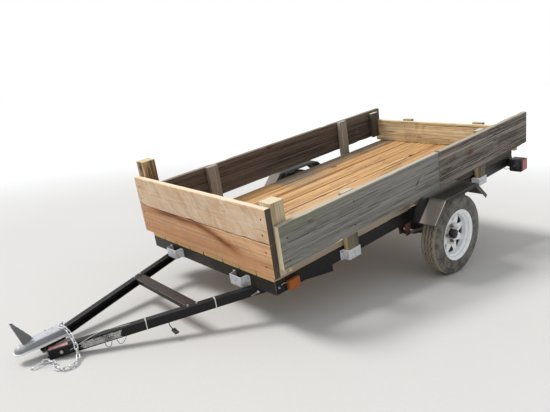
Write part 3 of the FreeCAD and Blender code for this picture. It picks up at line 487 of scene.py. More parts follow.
def rubbed_film(name, film):
    """Blank stuck-on film, worn away in patches to the black paint."""
    finish = Finish(name)
    place = finish.place()
    patchy = place.grain(240, 6, 0.72)
    broad = place.grain(16, 3, 0.5)
    gone = (patchy + broad * 0.55).fade(0.74, 0.92)
    tint = finish.blend(film, tuple(0.6 * c for c in film), patchy.fade(0.4, 0.6))
    finish.cover(finish.blend(tint, (0.03, 0.026, 0.024), gone * 0.9), 0.58 + gone * 0.2, 1 - gone, 0.0003)


SPACER_TOP = -58
PANEL_END = (0.075, 0.055, 0.04)

painted_steel("black_steel", (0.009, 0.009, 0.01), (0.08, 0.071, 0.06), 0.02, 0.25)
painted_steel("rail_black", (0.005, 0.005, 0.005), (0.035, 0.031, 0.027), -0.06, 0.3)
painted_steel("rail_dusty", (0.014, 0.012, 0.01), (0.125, 0.1, 0.074), 0.28, 0.5)
painted_steel("fender_black", (0.014, 0.013, 0.012), (0.155, 0.135, 0.115), 0.1, 0.3, 0.4)
painted_steel("brace_brown", (0.02, 0.016, 0.014), (0.085, 0.064, 0.052), 0.18, 0.6)
rusty_steel("bright_edge", (0.66, 0.65, 0.63), (0.2, 0.12, 0.07), 0, 0.2)
rusty_steel("spring_steel", (0.03, 0.028, 0.028), (0.13, 0.05, 0.022), 0.14)
rusty_steel("hanger_rust", (0.035, 0.02, 0.019), (0.15, 0.035, 0.024), 0.26)
rusty_steel("hub_steel", (0.016, 0.015, 0.015), (0.06, 0.036, 0.024), 0.06)
rusty_steel("nut_rust", (0.2, 0.17, 0.13), (0.15, 0.085, 0.05), 0.14, 0.4)
rusty_steel("bolt_zinc", (0.42, 0.42, 0.41), (0.2, 0.1, 0.05), 0.06, 0.8)
rusty_steel("screw_dark", (0.06, 0.05, 0.045), (0.11, 0.06, 0.035), 0.2, 0.4)
zinc("zinc_steel", 1.45, 0.46, 120, 0.6, 0.35)
zinc("zinc_dark", 0.42, 0.38, 200, 0.5, 0.45)
zinc("zinc_bright", 1.28, 0.4, 260, 0.35, 0.15, 0.62, (SPACER_TOP + 7.5) / 1000)
zinc("chain_zinc", 1.75, 0.3, 300, 0.5, 0.45)
rubber()
rim_paint()
lens("amber_lens", (0.24, 0.06, 0.006), (0.42, 0.12, 0.014), 180)
lens("red_lens", (0.42, 0.066, 0.07), (0.56, 0.135, 0.135), 150)
plastic("black_plastic", (0.014, 0.014, 0.015), (0.1, 0.092, 0.08))
plastic("cord_jacket", (0.013, 0.013, 0.014), (0.09, 0.08, 0.07))
plastic("white_wire", (0.72, 0.7, 0.66), (0.42, 0.38, 0.32))
rubbed_film("grey_patch", (0.56, 0.54, 0.52))
rubbed_film("pink_patch", (0.74, 0.34, 0.36))
timber("deck_pine", "x", (0.74, 0.465, 0.2), (0.36, 0.16, 0.046), (0.54, 0.42, 0.27), (0.82, 0.52, 0.22),
       0.16, 0.34, 0.62, 0.55, 0.8, 0, 3, pale_near_strip, far_plank_grey_and_shadow, dark_rear_sides)
timber("tan_timber", "y", (0.86, 0.68, 0.4), (0.44, 0.3, 0.15), (0.56, 0.5, 0.37), (0.44, 0.37, 0.25),
       0.22, 0.36, 0.78, 0.5, 1.8, 0.5, 5)
timber("panel_upper", "y", (0.78, 0.53, 0.31), (0.37, 0.215, 0.12), (0.66, 0.53, 0.385), PANEL_END,
       0.34, 0.2, 0.26, 0.1, 0, 1, 9, pale_strokes, brown_strokes)
timber("panel_lower", "y", (0.7, 0.4, 0.2), (0.3, 0.125, 0.048), (0.6, 0.43, 0.28), PANEL_END,
       0.2, 0.22, 0.34, 0.15, 0, 0.3, 13, brown_strokes, ruddy_foot, resin_glow, resin_streak)
timber("side_grey", "x", (0.3, 0.285, 0.25), (0.072, 0.062, 0.05), (0.215, 0.212, 0.196), (0.95, 0.8, 0.53),
       0.4, 0.14, 0.58, 0.75, 0.3, 0.9, 17, mossy_corner, slit_knot)
timber("side_brown", "x", (0.34, 0.295, 0.24), (0.045, 0.033, 0.026), (0.185, 0.172, 0.155),
       (0.1, 0.08, 0.06), 0.3, 0.18, 0.85, 0.9, 0.9, 0.8, 21)
timber("far_brown", "x", (0.155, 0.112, 0.086), (0.026, 0.018, 0.014), (0.105, 0.09, 0.076),
       (0.07, 0.055, 0.04), 0.26, 0.22, 0.75, 0.6, 1.2, 0.4, 29)
# Dark stake colours: painted shade on the wide faces, while the narrow faces are painted lighter as lit faces
timber("stake_tan", "z", (0.2, 0.16, 0.105), (0.08, 0.06, 0.038), (0.135, 0.122, 0.1), (0.62, 0.55, 0.45),
       0.28, 0.25, 0.6, 0.6, 0.5, 0.8, 33, lit_narrow_faces)
timber("stake_grey", "z", (0.42, 0.37, 0.31), (0.125, 0.1, 0.078), (0.3, 0.275, 0.24), (0.4, 0.36, 0.31),
       0.4, 0.25, 0.6, 0.6, 0.7, 0.8, 35)
timber("post_tan", "z", (0.6, 0.48, 0.3), (0.3, 0.215, 0.115), (0.45, 0.4, 0.29), (0.8, 0.68, 0.46),
       0.24, 0.3, 0.5, 0.4, 0.6, 0.3, 37, shaded_cleat)
timber("post_orange", "z", (0.72, 0.52, 0.27), (0.13, 0.07, 0.03), (0.4, 0.33, 0.21), (0.74, 0.56, 0.32),
       0.14, 0.5, 0.85, 0.9, 1.2, 0.2, 41, post_knot)


def new_object(name, data):
    made = bpy.data.objects.new(name, data)
    bpy.context.scene.collection.objects.link(made)
    return made


def add_piece(name, mesh, finish, slot, replaces=(), smooth=30, body="root"):
    """Puts a mesh in the scene, shaded smooth below an angle, on its body and in place of its nodes."""
    if isinstance(mesh, bmesh.types.BMesh):
        data = bpy.data.meshes.new(name)
        bmesh.ops.recalc_face_normals(mesh, faces=mesh.faces)
        mesh.to_mesh(data)
        mesh.free()
        mesh = data
    mesh.materials.clear()
    mesh.materials.append(FINISH[finish])
    piece = new_object(name, mesh)
    worn = mesh.attributes.get("rounded_edge")
    for face in mesh.polygons:
        # A flat sheet stays flat right up to its rounded edge
        face.use_smooth = not worn or worn.data[face.index].value > 0.5
    mesh.set_sharp_from_angle(angle=math.radians(smooth))
    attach(piece, body)
    if replaces:
        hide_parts(*replaces)
    return piece


def join_rows(bm, rows, around=False, closed=False):
    """Faces between rows of vertices, also round each row's ends and from the last row to the first."""
    for low, high in zip(rows, rows[1:] + rows[:1] if closed else rows[1:]):
        for corner in range(len(low) if around else len(low) - 1):
            after = (corner + 1) % len(low)
            bm.faces.new((low[corner], low[after], high[after], high[corner]))


def mesh_of(node, turn=Matrix()):
    """Working copy of a node's mesh, turned, with its flat faces whole again."""
    bm = bmesh.new()
    bm.from_mesh(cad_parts[node].data)
    bmesh.ops.remove_doubles(bm, verts=bm.verts, dist=1e-5)
    bm.transform(turn)
    bmesh.ops.dissolve_limit(bm, angle_limit=math.radians(1), verts=bm.verts, edges=bm.edges)
    return bm


def islands(bm):
    """Groups of joined vertices, one for each board of a node, in the same order each run."""
    painted_sunlit_outer = set()
    for first in bm.verts:
        if first in painted_sunlit_outer:
            continue
        painted_sunlit_outer.add(first)
        group = [first]
        for vert in group:
            for edge in vert.link_edges:
                other = edge.other_vert(vert)
                if other not in painted_sunlit_outer:
                    painted_sunlit_outer.add(other)
                    group.append(other)
        yield group


def worn_timber(node, finish, along, seed, slot, wear=0.0022):
    """The node's boards with the arrises worn and the line wandering a little along their length."""
    bm = mesh_of(node, LEVEL)
    low = min(v.co[along] for v in bm.verts)
    high = max(v.co[along] for v in bm.verts)
    direction = Vector([1 if axis == along else 0 for axis in range(3)])
    steps = max(4, int((high - low) / 0.05))
    for step in range(1, steps):
        cut = low + (high - low) * step / steps
        bmesh.ops.bisect_plane(bm, geom=bm.verts[:] + bm.edges[:] + bm.faces[:],
                               plane_co=direction * cut, plane_no=direction)
    for index, group in enumerate(islands(bm)):
        middle = Vector([(min(v.co[axis] for v in group) + max(v.co[axis] for v in group)) / 2
                         for axis in range(3)])
        for vert in group:
            rough = noise.noise(vert.co * 26 + Vector((seed, index * 3.1, 0)))
            slow = noise.noise(vert.co * 5 + Vector((0, seed, index * 1.7)))
            chip = max(0, noise.noise(vert.co * 14 + Vector((seed * 2, 0, index))) - 0.28) * 6
            inward = wear * (0.45 + 0.35 * rough + 0.2 * slow + chip)
            for axis in range(3):
                reach = middle[axis] - vert.co[axis]
                if abs(reach) > 1e-6:
                    limit = min(inward, abs(reach) * 0.5)
                    vert.co[axis] += math.copysign(limit * (0.35 if axis == along else 1), reach)
    bm.transform(PARKED)
    add_piece(node + "_worn", bm, finish, slot, (node,), 40)


worn_timber("deck_planks", "deck_pine", 0, 1, "deck_pine", 0.0016)
worn_timber("rear_board", "tan_timber", 1, 2, "tan_timber")
worn_timber("front_board_upper", "panel_upper", 1, 3, "tan_timber")
worn_timber("front_board_lower", "panel_lower", 1, 4, "tan_timber")
worn_timber("left_board_front", "side_grey", 0, 5, "grey_timber")
worn_timber("left_board_rear", "side_brown", 0, 6, "grey_timber")
worn_timber("right_board", "far_brown", 0, 7, "grey_timber")
worn_timber("left_stakes", "stake_tan", 2, 8, "grey_timber", 0.0015)
worn_timber("right_stakes", "stake_grey", 2, 9, "grey_timber", 0.0015)
worn_timber("rear_stakes", "stake_tan", 2, 10, "grey_timber", 0.0015)
worn_timber("rear_posts", "post_tan", 2, 11, "grey_timber")
worn_timber("front_post_left", "post_tan", 2, 12, "grey_timber")
worn_timber("front_post_right", "post_orange", 2, 13, "grey_timber")


# What turns is drawn about the wheel's centre, in millimetres
def on_wheel(bm, side):
    """Moves a shape to the wheel of that side, outer face outwards."""
    centre = Matrix.Translation((PARKED_AXLE.x, side * WHEEL_Y, PARKED_AXLE.z))
    bm.transform(centre @ Matrix.Diagonal((1, side, 1, 1)) @ MILLIMETRES)
    return bm


def wheel_piece(title, bm, side, name, finish, slot, node="", smooth=35):
    return add_piece(title % name, on_wheel(bm, side), finish, slot, (node + name,) if node else (), smooth,
                     "wheel_" + name)


def ring_of(profile, steps, wobble=None, around=True):
    """Lathe about the Y axis: profile points are (radius, along the axle)."""
    bm = bmesh.new()
    rows = []
    for step in range(steps):
        angle = 2 * math.pi * step / steps
        row = []
        for index, (radius, along) in enumerate(profile):
            out, slide = wobble(index, step) if wobble else (0, 0)
            row.append(bm.verts.new(((radius + out) * math.cos(angle), along + slide,
                                     (radius + out) * math.sin(angle))))
        rows.append(row)
    join_rows(bm, rows, around, True)
    return bm


TREAD_ZIGZAGS = 40
ZIGZAG_STEPS = 12
SIPE_DEPTH = 5.5


def tyre(side, name):
    """Carcass with rounded sidewalls, two raised rings a side, and three zigzag grooves round the tread."""
    wall = [(153, 45), (156, 47.2), (161, 48.8), (166.4, 52), (169.2, 56.2), (174.5, 59), (177, 59),
            (180, 58), (190, 60.5), (205, 62), (217, 61.8), (219.5, 63.2), (222.5, 63.2), (225, 61.2),
            (238, 58), (247, 54), (249, 54.8), (253, 53.5), (257.5, 48.5), (260.5, 44)]
    crown, bottom, half_groove = 262, 254.5, 4.6
    tread = [(261.2, 40)]
    for middle in (22, 0, -22):
        tread += [(crown, middle + half_groove), (bottom, middle + half_groove * 0.6),
                  (bottom, middle - half_groove * 0.6), (crown, middle - half_groove)]
    tread.append((261.2, -40))
    profile = wall + tread + [(r, -y) for r, y in wall[::-1]]
    first = len(wall) + 1
    grooves = range(first, first + len(tread) - 2)
    far_wall = len(wall) + len(tread)
    shoulder = (first - 4, first - 3, far_wall + 1, far_wall + 2)

    def wobble(index, step):
        if index in grooves:
            # Sipes cross the ribs, staggered from one rib to the next
            sipe = (step + 3 * ((index - first) // 4)) % 6 == 0 and profile[index][0] == crown
            phase = step % ZIGZAG_STEPS / ZIGZAG_STEPS
            return -SIPE_DEPTH if sipe else 0, 3.6 * (4 * abs(phase - 0.5) - 1)
        return -SIPE_DEPTH if index in shoulder and step % 6 < 2 else 0, 0

    bm = ring_of(profile, TREAD_ZIGZAGS * ZIGZAG_STEPS, wobble)
    wheel_piece("tyre_%s_treaded", bm, side, name, "tyre_rubber", "tyre_rubber", "tyre_", 38)


def cut_by(piece, cutter):
    """Takes the cutter out of the piece, for good."""
    bmesh.ops.recalc_face_normals(cutter, faces=cutter.faces)
    cutter_piece = new_object("cutter", bpy.data.meshes.new("cutter"))
    cutter.to_mesh(cutter_piece.data)
    cutter.free()
    modifier = piece.modifiers.new("vents", "BOOLEAN")
    modifier.operation = "DIFFERENCE"
    modifier.solver = "EXACT"
    modifier.object = cutter_piece
    result = bpy.data.meshes.new_from_object(piece.evaluated_get(bpy.context.evaluated_depsgraph_get()))
    piece.modifiers.clear()
    piece.data = result
    bpy.data.objects.remove(cutter_piece)


VENT_COUNT = 8
DISC_FACE = -2


def rim(side, name):
    """Rolled flange, stepped barrel and pressed disc with eight three-cornered vents."""
    front = [(167, 54), (167.6, 56.2), (166.2, 57.2), (164, 56.5), (160, 52), (150, 49), (147, 44),
             (145.5, 34), (137.5, 30), (134, 26)]
    back = [(165.5, 52), (160, 49), (151.8, 47), (150, 34), (148, 32)]
    profile = front + [(r, -y) for r, y in front[::-1]] + [(r, -y) for r, y in back] + back[::-1]
    wheel_piece("rim_%s_barrel", ring_of(profile, 96), side, name, "white_paint", "white_paint", "rim_")
    front = [(32.5, 3), (34.5, 0), (64, 0), (70, 2), (80, 8.5), (88, 10), (120, 10), (127, 8), (132, 3),
             (134.2, -6)]
    front = [(r, y + DISC_FACE) for r, y in front]
    back = [(r + 0.6, y - 3.8) for r, y in front[::-1]]
    disc = wheel_piece("rim_%s_disc", ring_of(front + back, 96), side, name, "white_paint", "white_paint")
    half_vent = [(80, 0), (83, 6.2), (117, 31), (121.2, 30.5), (123.8, 25), (125.8, 0)]
    vent = half_vent + [(r, -z) for r, z in half_vent[4:0:-1]]
    cutter = bmesh.new()
    for index in range(VENT_COUNT):
        turn = Matrix.Rotation(index * 2 * math.pi / VENT_COUNT, 3, "Y")
        ends = [[cutter.verts.new(turn @ Vector((r, along, z))) for r, z in vent] for along in (-30, 30)]
        join_rows(cutter, ends, True)
        cutter.faces.new(ends[0])
        cutter.faces.new(ends[1][::-1])
    cut_by(disc, on_wheel(cutter, side))
    for face in disc.data.polygons:
        face.use_smooth = True
    disc.data.set_sharp_from_angle(angle=math.radians(35))


def hub(side, name):
    """Greasy hub: flange behind the disc, stepped cap with a domed end, four lug nuts."""
    profile = [(0.1, -44), (30, -44), (30, -14.5), (66, -14), (66, -6), (31, -6), (31, 1), (30.5, 17),
               (31.8, 17.5), (31.8, 20.5), (30, 21.5), (29.5, 29), (27.5, 33.5), (23.5, 36.5), (15, 37.8),
               (0.1, 38)]
    bm = ring_of(profile, 64, around=False)
    wheel_piece("hub_%s_greasy", bm, side, name, "hub_steel", "hub_steel", "hub_")
    nuts = bmesh.new()
    for index in range(4):
        angle = math.radians(90 * index - 6)
        centre = Vector((50.8 * math.cos(angle), DISC_FACE, 50.8 * math.sin(angle)))
        hex_head(nuts, centre, Vector((0, 1, 0)), 10.8, 16, 6.5)
    wheel_piece("lug_nuts_%s", nuts, side, name, "nut_rust", "hub_steel", smooth=30)
    stem = bmesh.new()
    hex_head(stem, Vector((118, 12, 52)), Vector((0.05, 1, 0.02)), 5.2, 20, 3.6, 12)
    wheel_piece("valve_stem_%s", stem, side, name, "black_plastic", "tyre_rubber", smooth=30)


def hex_head(bm, centre, axis, radius, height, stub=0, sides=6):
    """Chamfered nut or head with an optional bolt end standing out of it."""
    axis = axis.normalized()
    across = axis.orthogonal().normalized()
    other = axis.cross(across)

    def stack(levels, count):
        angles = [2 * math.pi * corner / count for corner in range(count)]
        spokes = [across * math.cos(angle) + other * math.sin(angle) for angle in angles]
        rows = [[bm.verts.new(centre + axis * level + spoke * size) for spoke in spokes]
                for size, level in levels]
        join_rows(bm, rows, True)
        bm.faces.new(rows[-1])
        return rows[0]

    foot = stack([(radius, 0), (radius, height * 0.82), (radius * 0.88, height)], sides)
    bm.faces.new(foot[::-1])
    if stub:
        stack([(stub, height * 0.5), (stub, height + stub * 0.9), (stub * 0.7, height + stub * 1.1)], 12)


for side, name in SIDES:
    tyre(side, name)
    rim(side, name)
    hub(side, name)


def softened(node, width, finish, slot, lift=0):
    """The node with its outer edges rounded, as pressed or moulded parts have them."""
    bm = mesh_of(node)
    edges = [edge for edge in bm.edges if len(edge.link_faces) == 2 and edge.is_convex
             and edge.calc_face_angle() > math.radians(25)]
    worn = bm.faces.layers.float.new("rounded_edge")
    rounded = bmesh.ops.bevel(bm, geom=edges, offset=width, segments=3, profile=0.5, affect="EDGES",
                              clamp_overlap=True)
    for face in rounded["faces"]:
        face[worn] = 1
    bmesh.ops.translate(bm, vec=PARKED.to_3x3() @ Vector((0, 0, lift)), verts=bm.verts)
    add_piece(node + "_rounded", bm, finish, slot, (node,), 50)


softened("tail_lamps", 0.0025, "black_plastic", "black_plastic")
softened("tail_lenses", 0.002, "red_lens", "red_lens")
lens_sides = bmesh.new()
for side in (1, -1):
    panel = bmesh.ops.create_cube(lens_sides, size=1)["verts"]
    bmesh.ops.scale(lens_sides, vec=(0.072, 0.018, 0.086), verts=panel)
    bmesh.ops.translate(lens_sides, vec=(-2.4265, side * 0.709, -0.0655), verts=panel)
bmesh.ops.bevel(lens_sides, geom=lens_sides.edges[:], offset=0.003, segments=2, affect="EDGES")
lens_sides.transform(PARKED)
add_piece("tail_lens_sides", lens_sides, "red_lens", "red_lens", (), 40)
softened("side_markers", 0.002, "amber_lens", "amber_lens")
softened("wiring_plug", 0.0012, "black_plastic", "black_plastic")
softened("coupler_latch", 0.001, "zinc_dark", "zinc_steel", 0.009)
for pockets in ("front", "left", "right", "rear"):
    softened(pockets + "_stake_pockets", 0.0009, "zinc_steel", "zinc_steel")
for node, finish in (("front_rail", "rail_dusty"), ("rear_rail", "rail_dusty"),
                     ("side_rail_left", "rail_black"), ("side_rail_right", "rail_black"),
                     ("tongue_arm_left", "black_steel"), ("tongue_arm_right", "black_steel"),
                     ("tongue_brace", "brace_brown"), ("fender_left", "fender_black"),
                     ("fender_right", "fender_black")):
    softened(node, 0.0011, finish, "black_steel")

# From here on sizes are in millimetres on the level trailer, as the solids have them
COUPLER_REAR = 870
BALL_X = 1078.7
HOOD_HEIGHT = 42
HALF_HOOD = 35
DOME_TOP = 39
DOME_RADIUS = 29.3
SHEET = 3.5
LIP_THICK = 6


def nose_share(x):
    """0 at the square back of the coupler, 1 at its ball, smooth between."""
    share = min(1, max(0, (x - BALL_X + 82) / 76))
    return share * share * (3 - 2 * share)


def hood_half(x, inset):
    """Half section of the coupler, from its crown down to its foot, as (out, up) pairs."""
    nose = nose_share(x)
    half = HALF_HOOD + (DOME_RADIUS - HALF_HOOD) * nose - inset
    high = HOOD_HEIGHT + (DOME_TOP - HOOD_HEIGHT) * nose - inset
    power = 2 / (6.5 - 4.4 * nose)
    foot = 0 if inset else LIP_THICK + 1.5
    points = []
    for step in range(15):
        angle = math.radians(90 * (1 - step / 14))
        points.append((half * math.cos(angle) ** power if step else 0,
                       foot + (high - foot) * math.sin(angle) ** power))
    return points


def hood_section(x):
    """Closed half section: over the sheet, out along the flared foot, and back up inside."""
    outside = hood_half(x, 0)
    edge = outside[-1][0]
    lip = edge + 12 - 5 * nose_share(x)
    foot = [(edge + 1.5, LIP_THICK), (lip - 1.2, LIP_THICK + 0.4), (lip, LIP_THICK - 0.8), (lip, 0.6),
            (lip - 0.8, 0)]
    return outside + foot + hood_half(x, SHEET)[::-1]


def coupler():
    """Stamped coupler: square-shouldered channel at the back that runs into a round ball housing."""
    bm = bmesh.new()
    for side in (1, -1):
        rows = []
        for step in range(31):
            x = COUPLER_REAR + (BALL_X - COUPLER_REAR) * step / 30
            rows.append([bm.verts.new((x, side * y, SPACER_TOP + z)) for y, z in hood_section(x)])
        join_rows(bm, rows)
        back = rows[0]
        for corner in range(14):
            bm.faces.new((back[corner], back[corner + 1], back[-2 - corner], back[-1 - corner]))
        bm.faces.new(back[14:21])
    rows = []
    for step in range(25):
        angle = math.radians(7.5 * step - 90)
        rows.append([bm.verts.new((BALL_X + r * math.cos(angle), r * math.sin(angle), SPACER_TOP + z))
                     for r, z in hood_section(BALL_X)])
    join_rows(bm, rows)
    bmesh.ops.remove_doubles(bm, verts=bm.verts, dist=0.02)
    bm.transform(LEVEL_MILLIMETRES)
    add_piece("coupler_stamping", bm, "zinc_bright", "zinc_steel", ("coupler_body",), 35)


coupler()

CHAIN_WIRE = 6
CHAIN_INNER = (27, 9.5)
END_WIRE = 7
END_INNER = (58, 17)
CHAIN_GAP = 0.4
BOLT_RADIUS = 3.7
# Heading and slope of each link, in degrees
LEFT_CHAIN = ((118, 4), (112, -28), (104, -36), (96, -36), (92, -42), (88, -70), (82, -56),
              (72, -22), (55, -1), (40, 0), (20, 0), (-10, 0), (-46, 0), (-80, 0), (-110, 0),
              (-97, 0), (-61, 0), (-24, 0), (16, -4))
RIGHT_CHAIN = ((-100, 1), (-97, -38), (-84, -72), (-62, -44), (-30, -7), (2, -1), (20, 0),
               (33, 0), (24, -2))
ARM_TIP_HALF = 68.6
ARM_TIP_X = 985
ARM_SLOPE = (610 - 14 - ARM_TIP_HALF) / (ARM_TIP_X + 430)
ARM_OUTWARDS = Vector((ARM_SLOPE, 1, 0)).normalized()


def heading_vector(heading, slope):
    turn, rise = math.radians(heading), math.radians(slope)
    return Vector((math.cos(turn) * math.cos(rise), math.sin(turn) * math.cos(rise), math.sin(rise)))


def add_link(bm, wire, inner, centre, along, facing):
    """Closed link of round wire, slightly fuller at its weld."""
    across = facing.cross(along).normalized()
    normal = along.cross(across)
    rings = []
    for end in (1, -1):
        for step in range(9):
            angle = math.radians(22.5 * step - 90)
            outward = (along * math.cos(angle) + across * math.sin(angle)) * end
            spot = centre + along * end * (inner[0] - inner[1]) / 2 + outward * (inner[1] + wire) / 2
            size = wire / 2 * (1.1 if end > 0 and step == 8 else 1)
            turns = [math.radians(36 * corner) for corner in range(10)]
            rings.append([bm.verts.new(spot + (outward * math.cos(turn) + normal * math.sin(turn)) * size)
                          for turn in turns])
    join_rows(bm, rings, True, True)


def add_chain(bm, foot, twist, courses):
    """Links as the solids have them: each turned a little past square to the one before."""
    axis = heading_vector(0, 90 - math.degrees(PARK_ANGLE))
    facing = axis
    across_before = front_bar = wire_before = None
    for index, (heading, slope) in enumerate(courses):
        last = index == len(courses) - 1
        wire, inner = (END_WIRE, END_INNER) if last else (CHAIN_WIRE, CHAIN_INNER)
        reach = (inner[0] + wire) / 2
        along = heading_vector(heading, slope)
        if index:
            facing = Matrix.Rotation(math.radians(90 + twist), 3, along) @ facing
        facing = (facing - along * facing.dot(along)).normalized()
        across = facing.cross(along)
        if index:
            apart = across_before.cross(across).normalized()
            if apart.dot(along) > 0:
                apart = -apart
            rear_bar = front_bar + apart * ((wire + wire_before) / 2 + CHAIN_GAP)
        else:
            lift = wire / 2 + CHAIN_GAP
            rear_bar = foot + axis * lift - along * (BOLT_RADIUS + lift)
        front_bar = rear_bar + along * 2 * reach
        across_before = across
        wire_before = wire
        add_link(bm, wire, inner, rear_bar + along * reach, along, facing)
    hex_head(bm, foot, axis, BOLT_RADIUS, 18, 0, 14)
    hex_head(bm, foot + axis * 18, axis, 7, 4)


chains = bmesh.new()
for spot, twist, courses in (((886, 18, -16), -8, LEFT_CHAIN),
                             ((840, 10 - ARM_TIP_HALF - ARM_SLOPE * 145, -76), -3, RIGHT_CHAIN)):
    add_chain(chains, LEVEL_MILLIMETRES @ Vector(spot) * 1000, twist, courses)
chains.transform(MILLIMETRES)
add_piece("safety_chain_links", chains, "chain_zinc", "zinc_steel", ("safety_chains",), 60)


def arm_web(x, z, proud=0):
    """Spot on the outer face of the left arm."""
    return Vector((x, ARM_TIP_HALF + ARM_SLOPE * (ARM_TIP_X - x), z)) + ARM_OUTWARDS * proud


def both_sides(spots):
    """Spots with the way they point, and their mirror images."""
    return [((x, side * y, z), (out_x, side * out_y, out_z)) for side in (1, -1)
            for (x, y, z), (out_x, out_y, out_z) in spots]


def fasteners(name, spots, size, height, finish, slot="zinc_steel", stub=0, sides=6):
    """Heads or nuts at spots, each with the way it points."""
    bm = bmesh.new()
    for spot, axis in spots:
        hex_head(bm, Vector(spot), Vector(axis), size, height, stub, sides)
    bm.transform(LEVEL_MILLIMETRES)
    add_piece(name, bm, finish, slot)


FORWARD, OUT, UP = (1, 0, 0), (0, 1, 0), (0, 0, 1)
POCKET_STATIONS = (-556, -1932)
POCKET_Y = 331
POCKET_FACE = 612.8
RAIL_FACE = 609.8
LAMP_PLATE = 614.9
BOARD_FACE = 688.9
pocket_bolts = []
for reach in (-61, 61):
    pocket_bolts += [((station + reach, POCKET_FACE, -28), OUT) for station in POCKET_STATIONS]
    pocket_bolts += [((2.8, POCKET_Y + reach, -28), FORWARD), ((-2440.8, POCKET_Y + reach, -28), (-1, 0, 0))]
fasteners("pocket_bolts", both_sides(pocket_bolts), 6.5, 4.5, "bolt_zinc", stub=3.6)
frame_bolts = [((332, 290, -76.2), UP), ((288, 306, -76.2), UP), ((-19, 425, -76.2), UP),
               ((-22, RAIL_FACE, -37), OUT), ((-2412, RAIL_FACE, -50), OUT)]
fasteners("frame_bolts", both_sides(frame_bolts), 6.5, 4.5, "bolt_zinc", stub=3.6)
fasteners("tip_bolts", both_sides([(arm_web(930, -100, -0.2), ARM_OUTWARDS)]), 9, 7, "bolt_zinc", stub=4.5)
lamp_bolts = [((-2376.2, 661, -69), FORWARD), ((-2388, LAMP_PLATE, -68), OUT),
              ((-2414, LAMP_PLATE, -84), OUT)]
fasteners("lamp_bolts", both_sides(lamp_bolts), 6, 4, "bolt_zinc", stub=4)
fasteners("coupler_holes", [((947, -24, -16.6), UP), ((879.5, -21, -16.6), UP)], 4.2, 1, "black_plastic",
          sides=14)

deck_screws = []
plank_low = -610
for width in (140, 140, 140, 140, 184, 140, 140, 140):
    for x in (-19, -609.5, -1219, -1828.5, -2419):
        for share in (0.25, 0.75):
            spot = (x + random.uniform(-5, 5), plank_low + width * share + random.uniform(-4, 4), 37)
            if -2395 < spot[0] < -30:
                deck_screws.append((spot, UP))
    plank_low += width + 8
fasteners("deck_screws", deck_screws, 4.2, 1.2, "screw_dark", "deck_pine", sides=10)

board_screws = []
for side in (1, -1):
    for station in POCKET_STATIONS:
        for z in (130, 265):
            board_screws.append(((station + random.uniform(-14, 14), side * BOARD_FACE, z), (0, side, 0)))
    for z in (96, 178, 268, 352):
        board_screws.append(((24.9, side * (606 + random.uniform(-12, 12)), z), FORWARD))
    for x in (-2355, -58):
        board_screws += [((x, side * BOARD_FACE, z), (0, side, 0)) for z in (120, 240)]
    board_screws += [((-2401.1, side * POCKET_Y, z), FORWARD) for z in (75, 180)]
fasteners("board_screws", board_screws, 4.6, 1.5, "screw_dark", "grey_timber", sides=10)


def round_line(name, points, radius, resolution):
    """Round bent line through points of the parked trailer, in metres."""
    curve = bpy.data.curves.new(name, "CURVE")
    curve.dimensions = "3D"
    curve.bevel_depth = radius
    curve.bevel_resolution = resolution
    spline = curve.splines.new("NURBS")
    spline.points.add(len(points) - 1)
    for control, point in zip(spline.points, points):
        control.co = (*point, 1)
    spline.order_u = 3
    spline.use_endpoint_u = True
    return new_object(name, curve)


def wire(name, points, thickness, finish="cord_jacket", slot="cord_jacket"):
    """Wire through spots, made into a mesh."""
    line = round_line(name, [LEVEL_MILLIMETRES @ Vector(point) for point in points], thickness / 2000, 2)
    line.data.use_fill_caps = True
    mesh = bpy.data.meshes.new_from_object(line.evaluated_get(bpy.context.evaluated_depsgraph_get()))
    bpy.data.objects.remove(line)
    add_piece(name, mesh, finish, slot, (), 60)


def cable_tie(name, x):
    """Flat nylon band pulled tight round the left arm's channel, with its lock."""
    along = Vector((1, -ARM_SLOPE, 0)).normalized()
    web = arm_web(x, 0)
    bm = bmesh.new()
    loops = []
    for half, grow in ((-2.4, 0), (-2.4, 1.2), (2.4, 1.2), (2.4, 0)):
        loop = []
        for out, z in ((0.6, -75.4), (-38.6, -75.4), (-38.6, -126.6), (0.6, -126.6)):
            grown = out + math.copysign(grow, out)
            level = Vector((0, 0, z + math.copysign(grow, z + 100)))
            loop.append(bm.verts.new(web + ARM_OUTWARDS * grown + along * half + level))
        loops.append(loop)
    join_rows(bm, loops, True, True)
    lock = bmesh.ops.create_cube(bm, size=1)["verts"]
    bmesh.ops.scale(bm, vec=(8, 7.5, 4.5), verts=lock)
    bmesh.ops.translate(bm, vec=web - ARM_OUTWARDS * 14 + Vector((0, 0, -73.4)), verts=lock)
    bmesh.ops.bevel(bm, geom=[edge for edge in bm.edges if edge.verts[0] in lock], offset=0.8, segments=2,
                    affect="EDGES")
    bm.transform(LEVEL_MILLIMETRES)
    add_piece(name, bm, "white_wire", "white_paint")


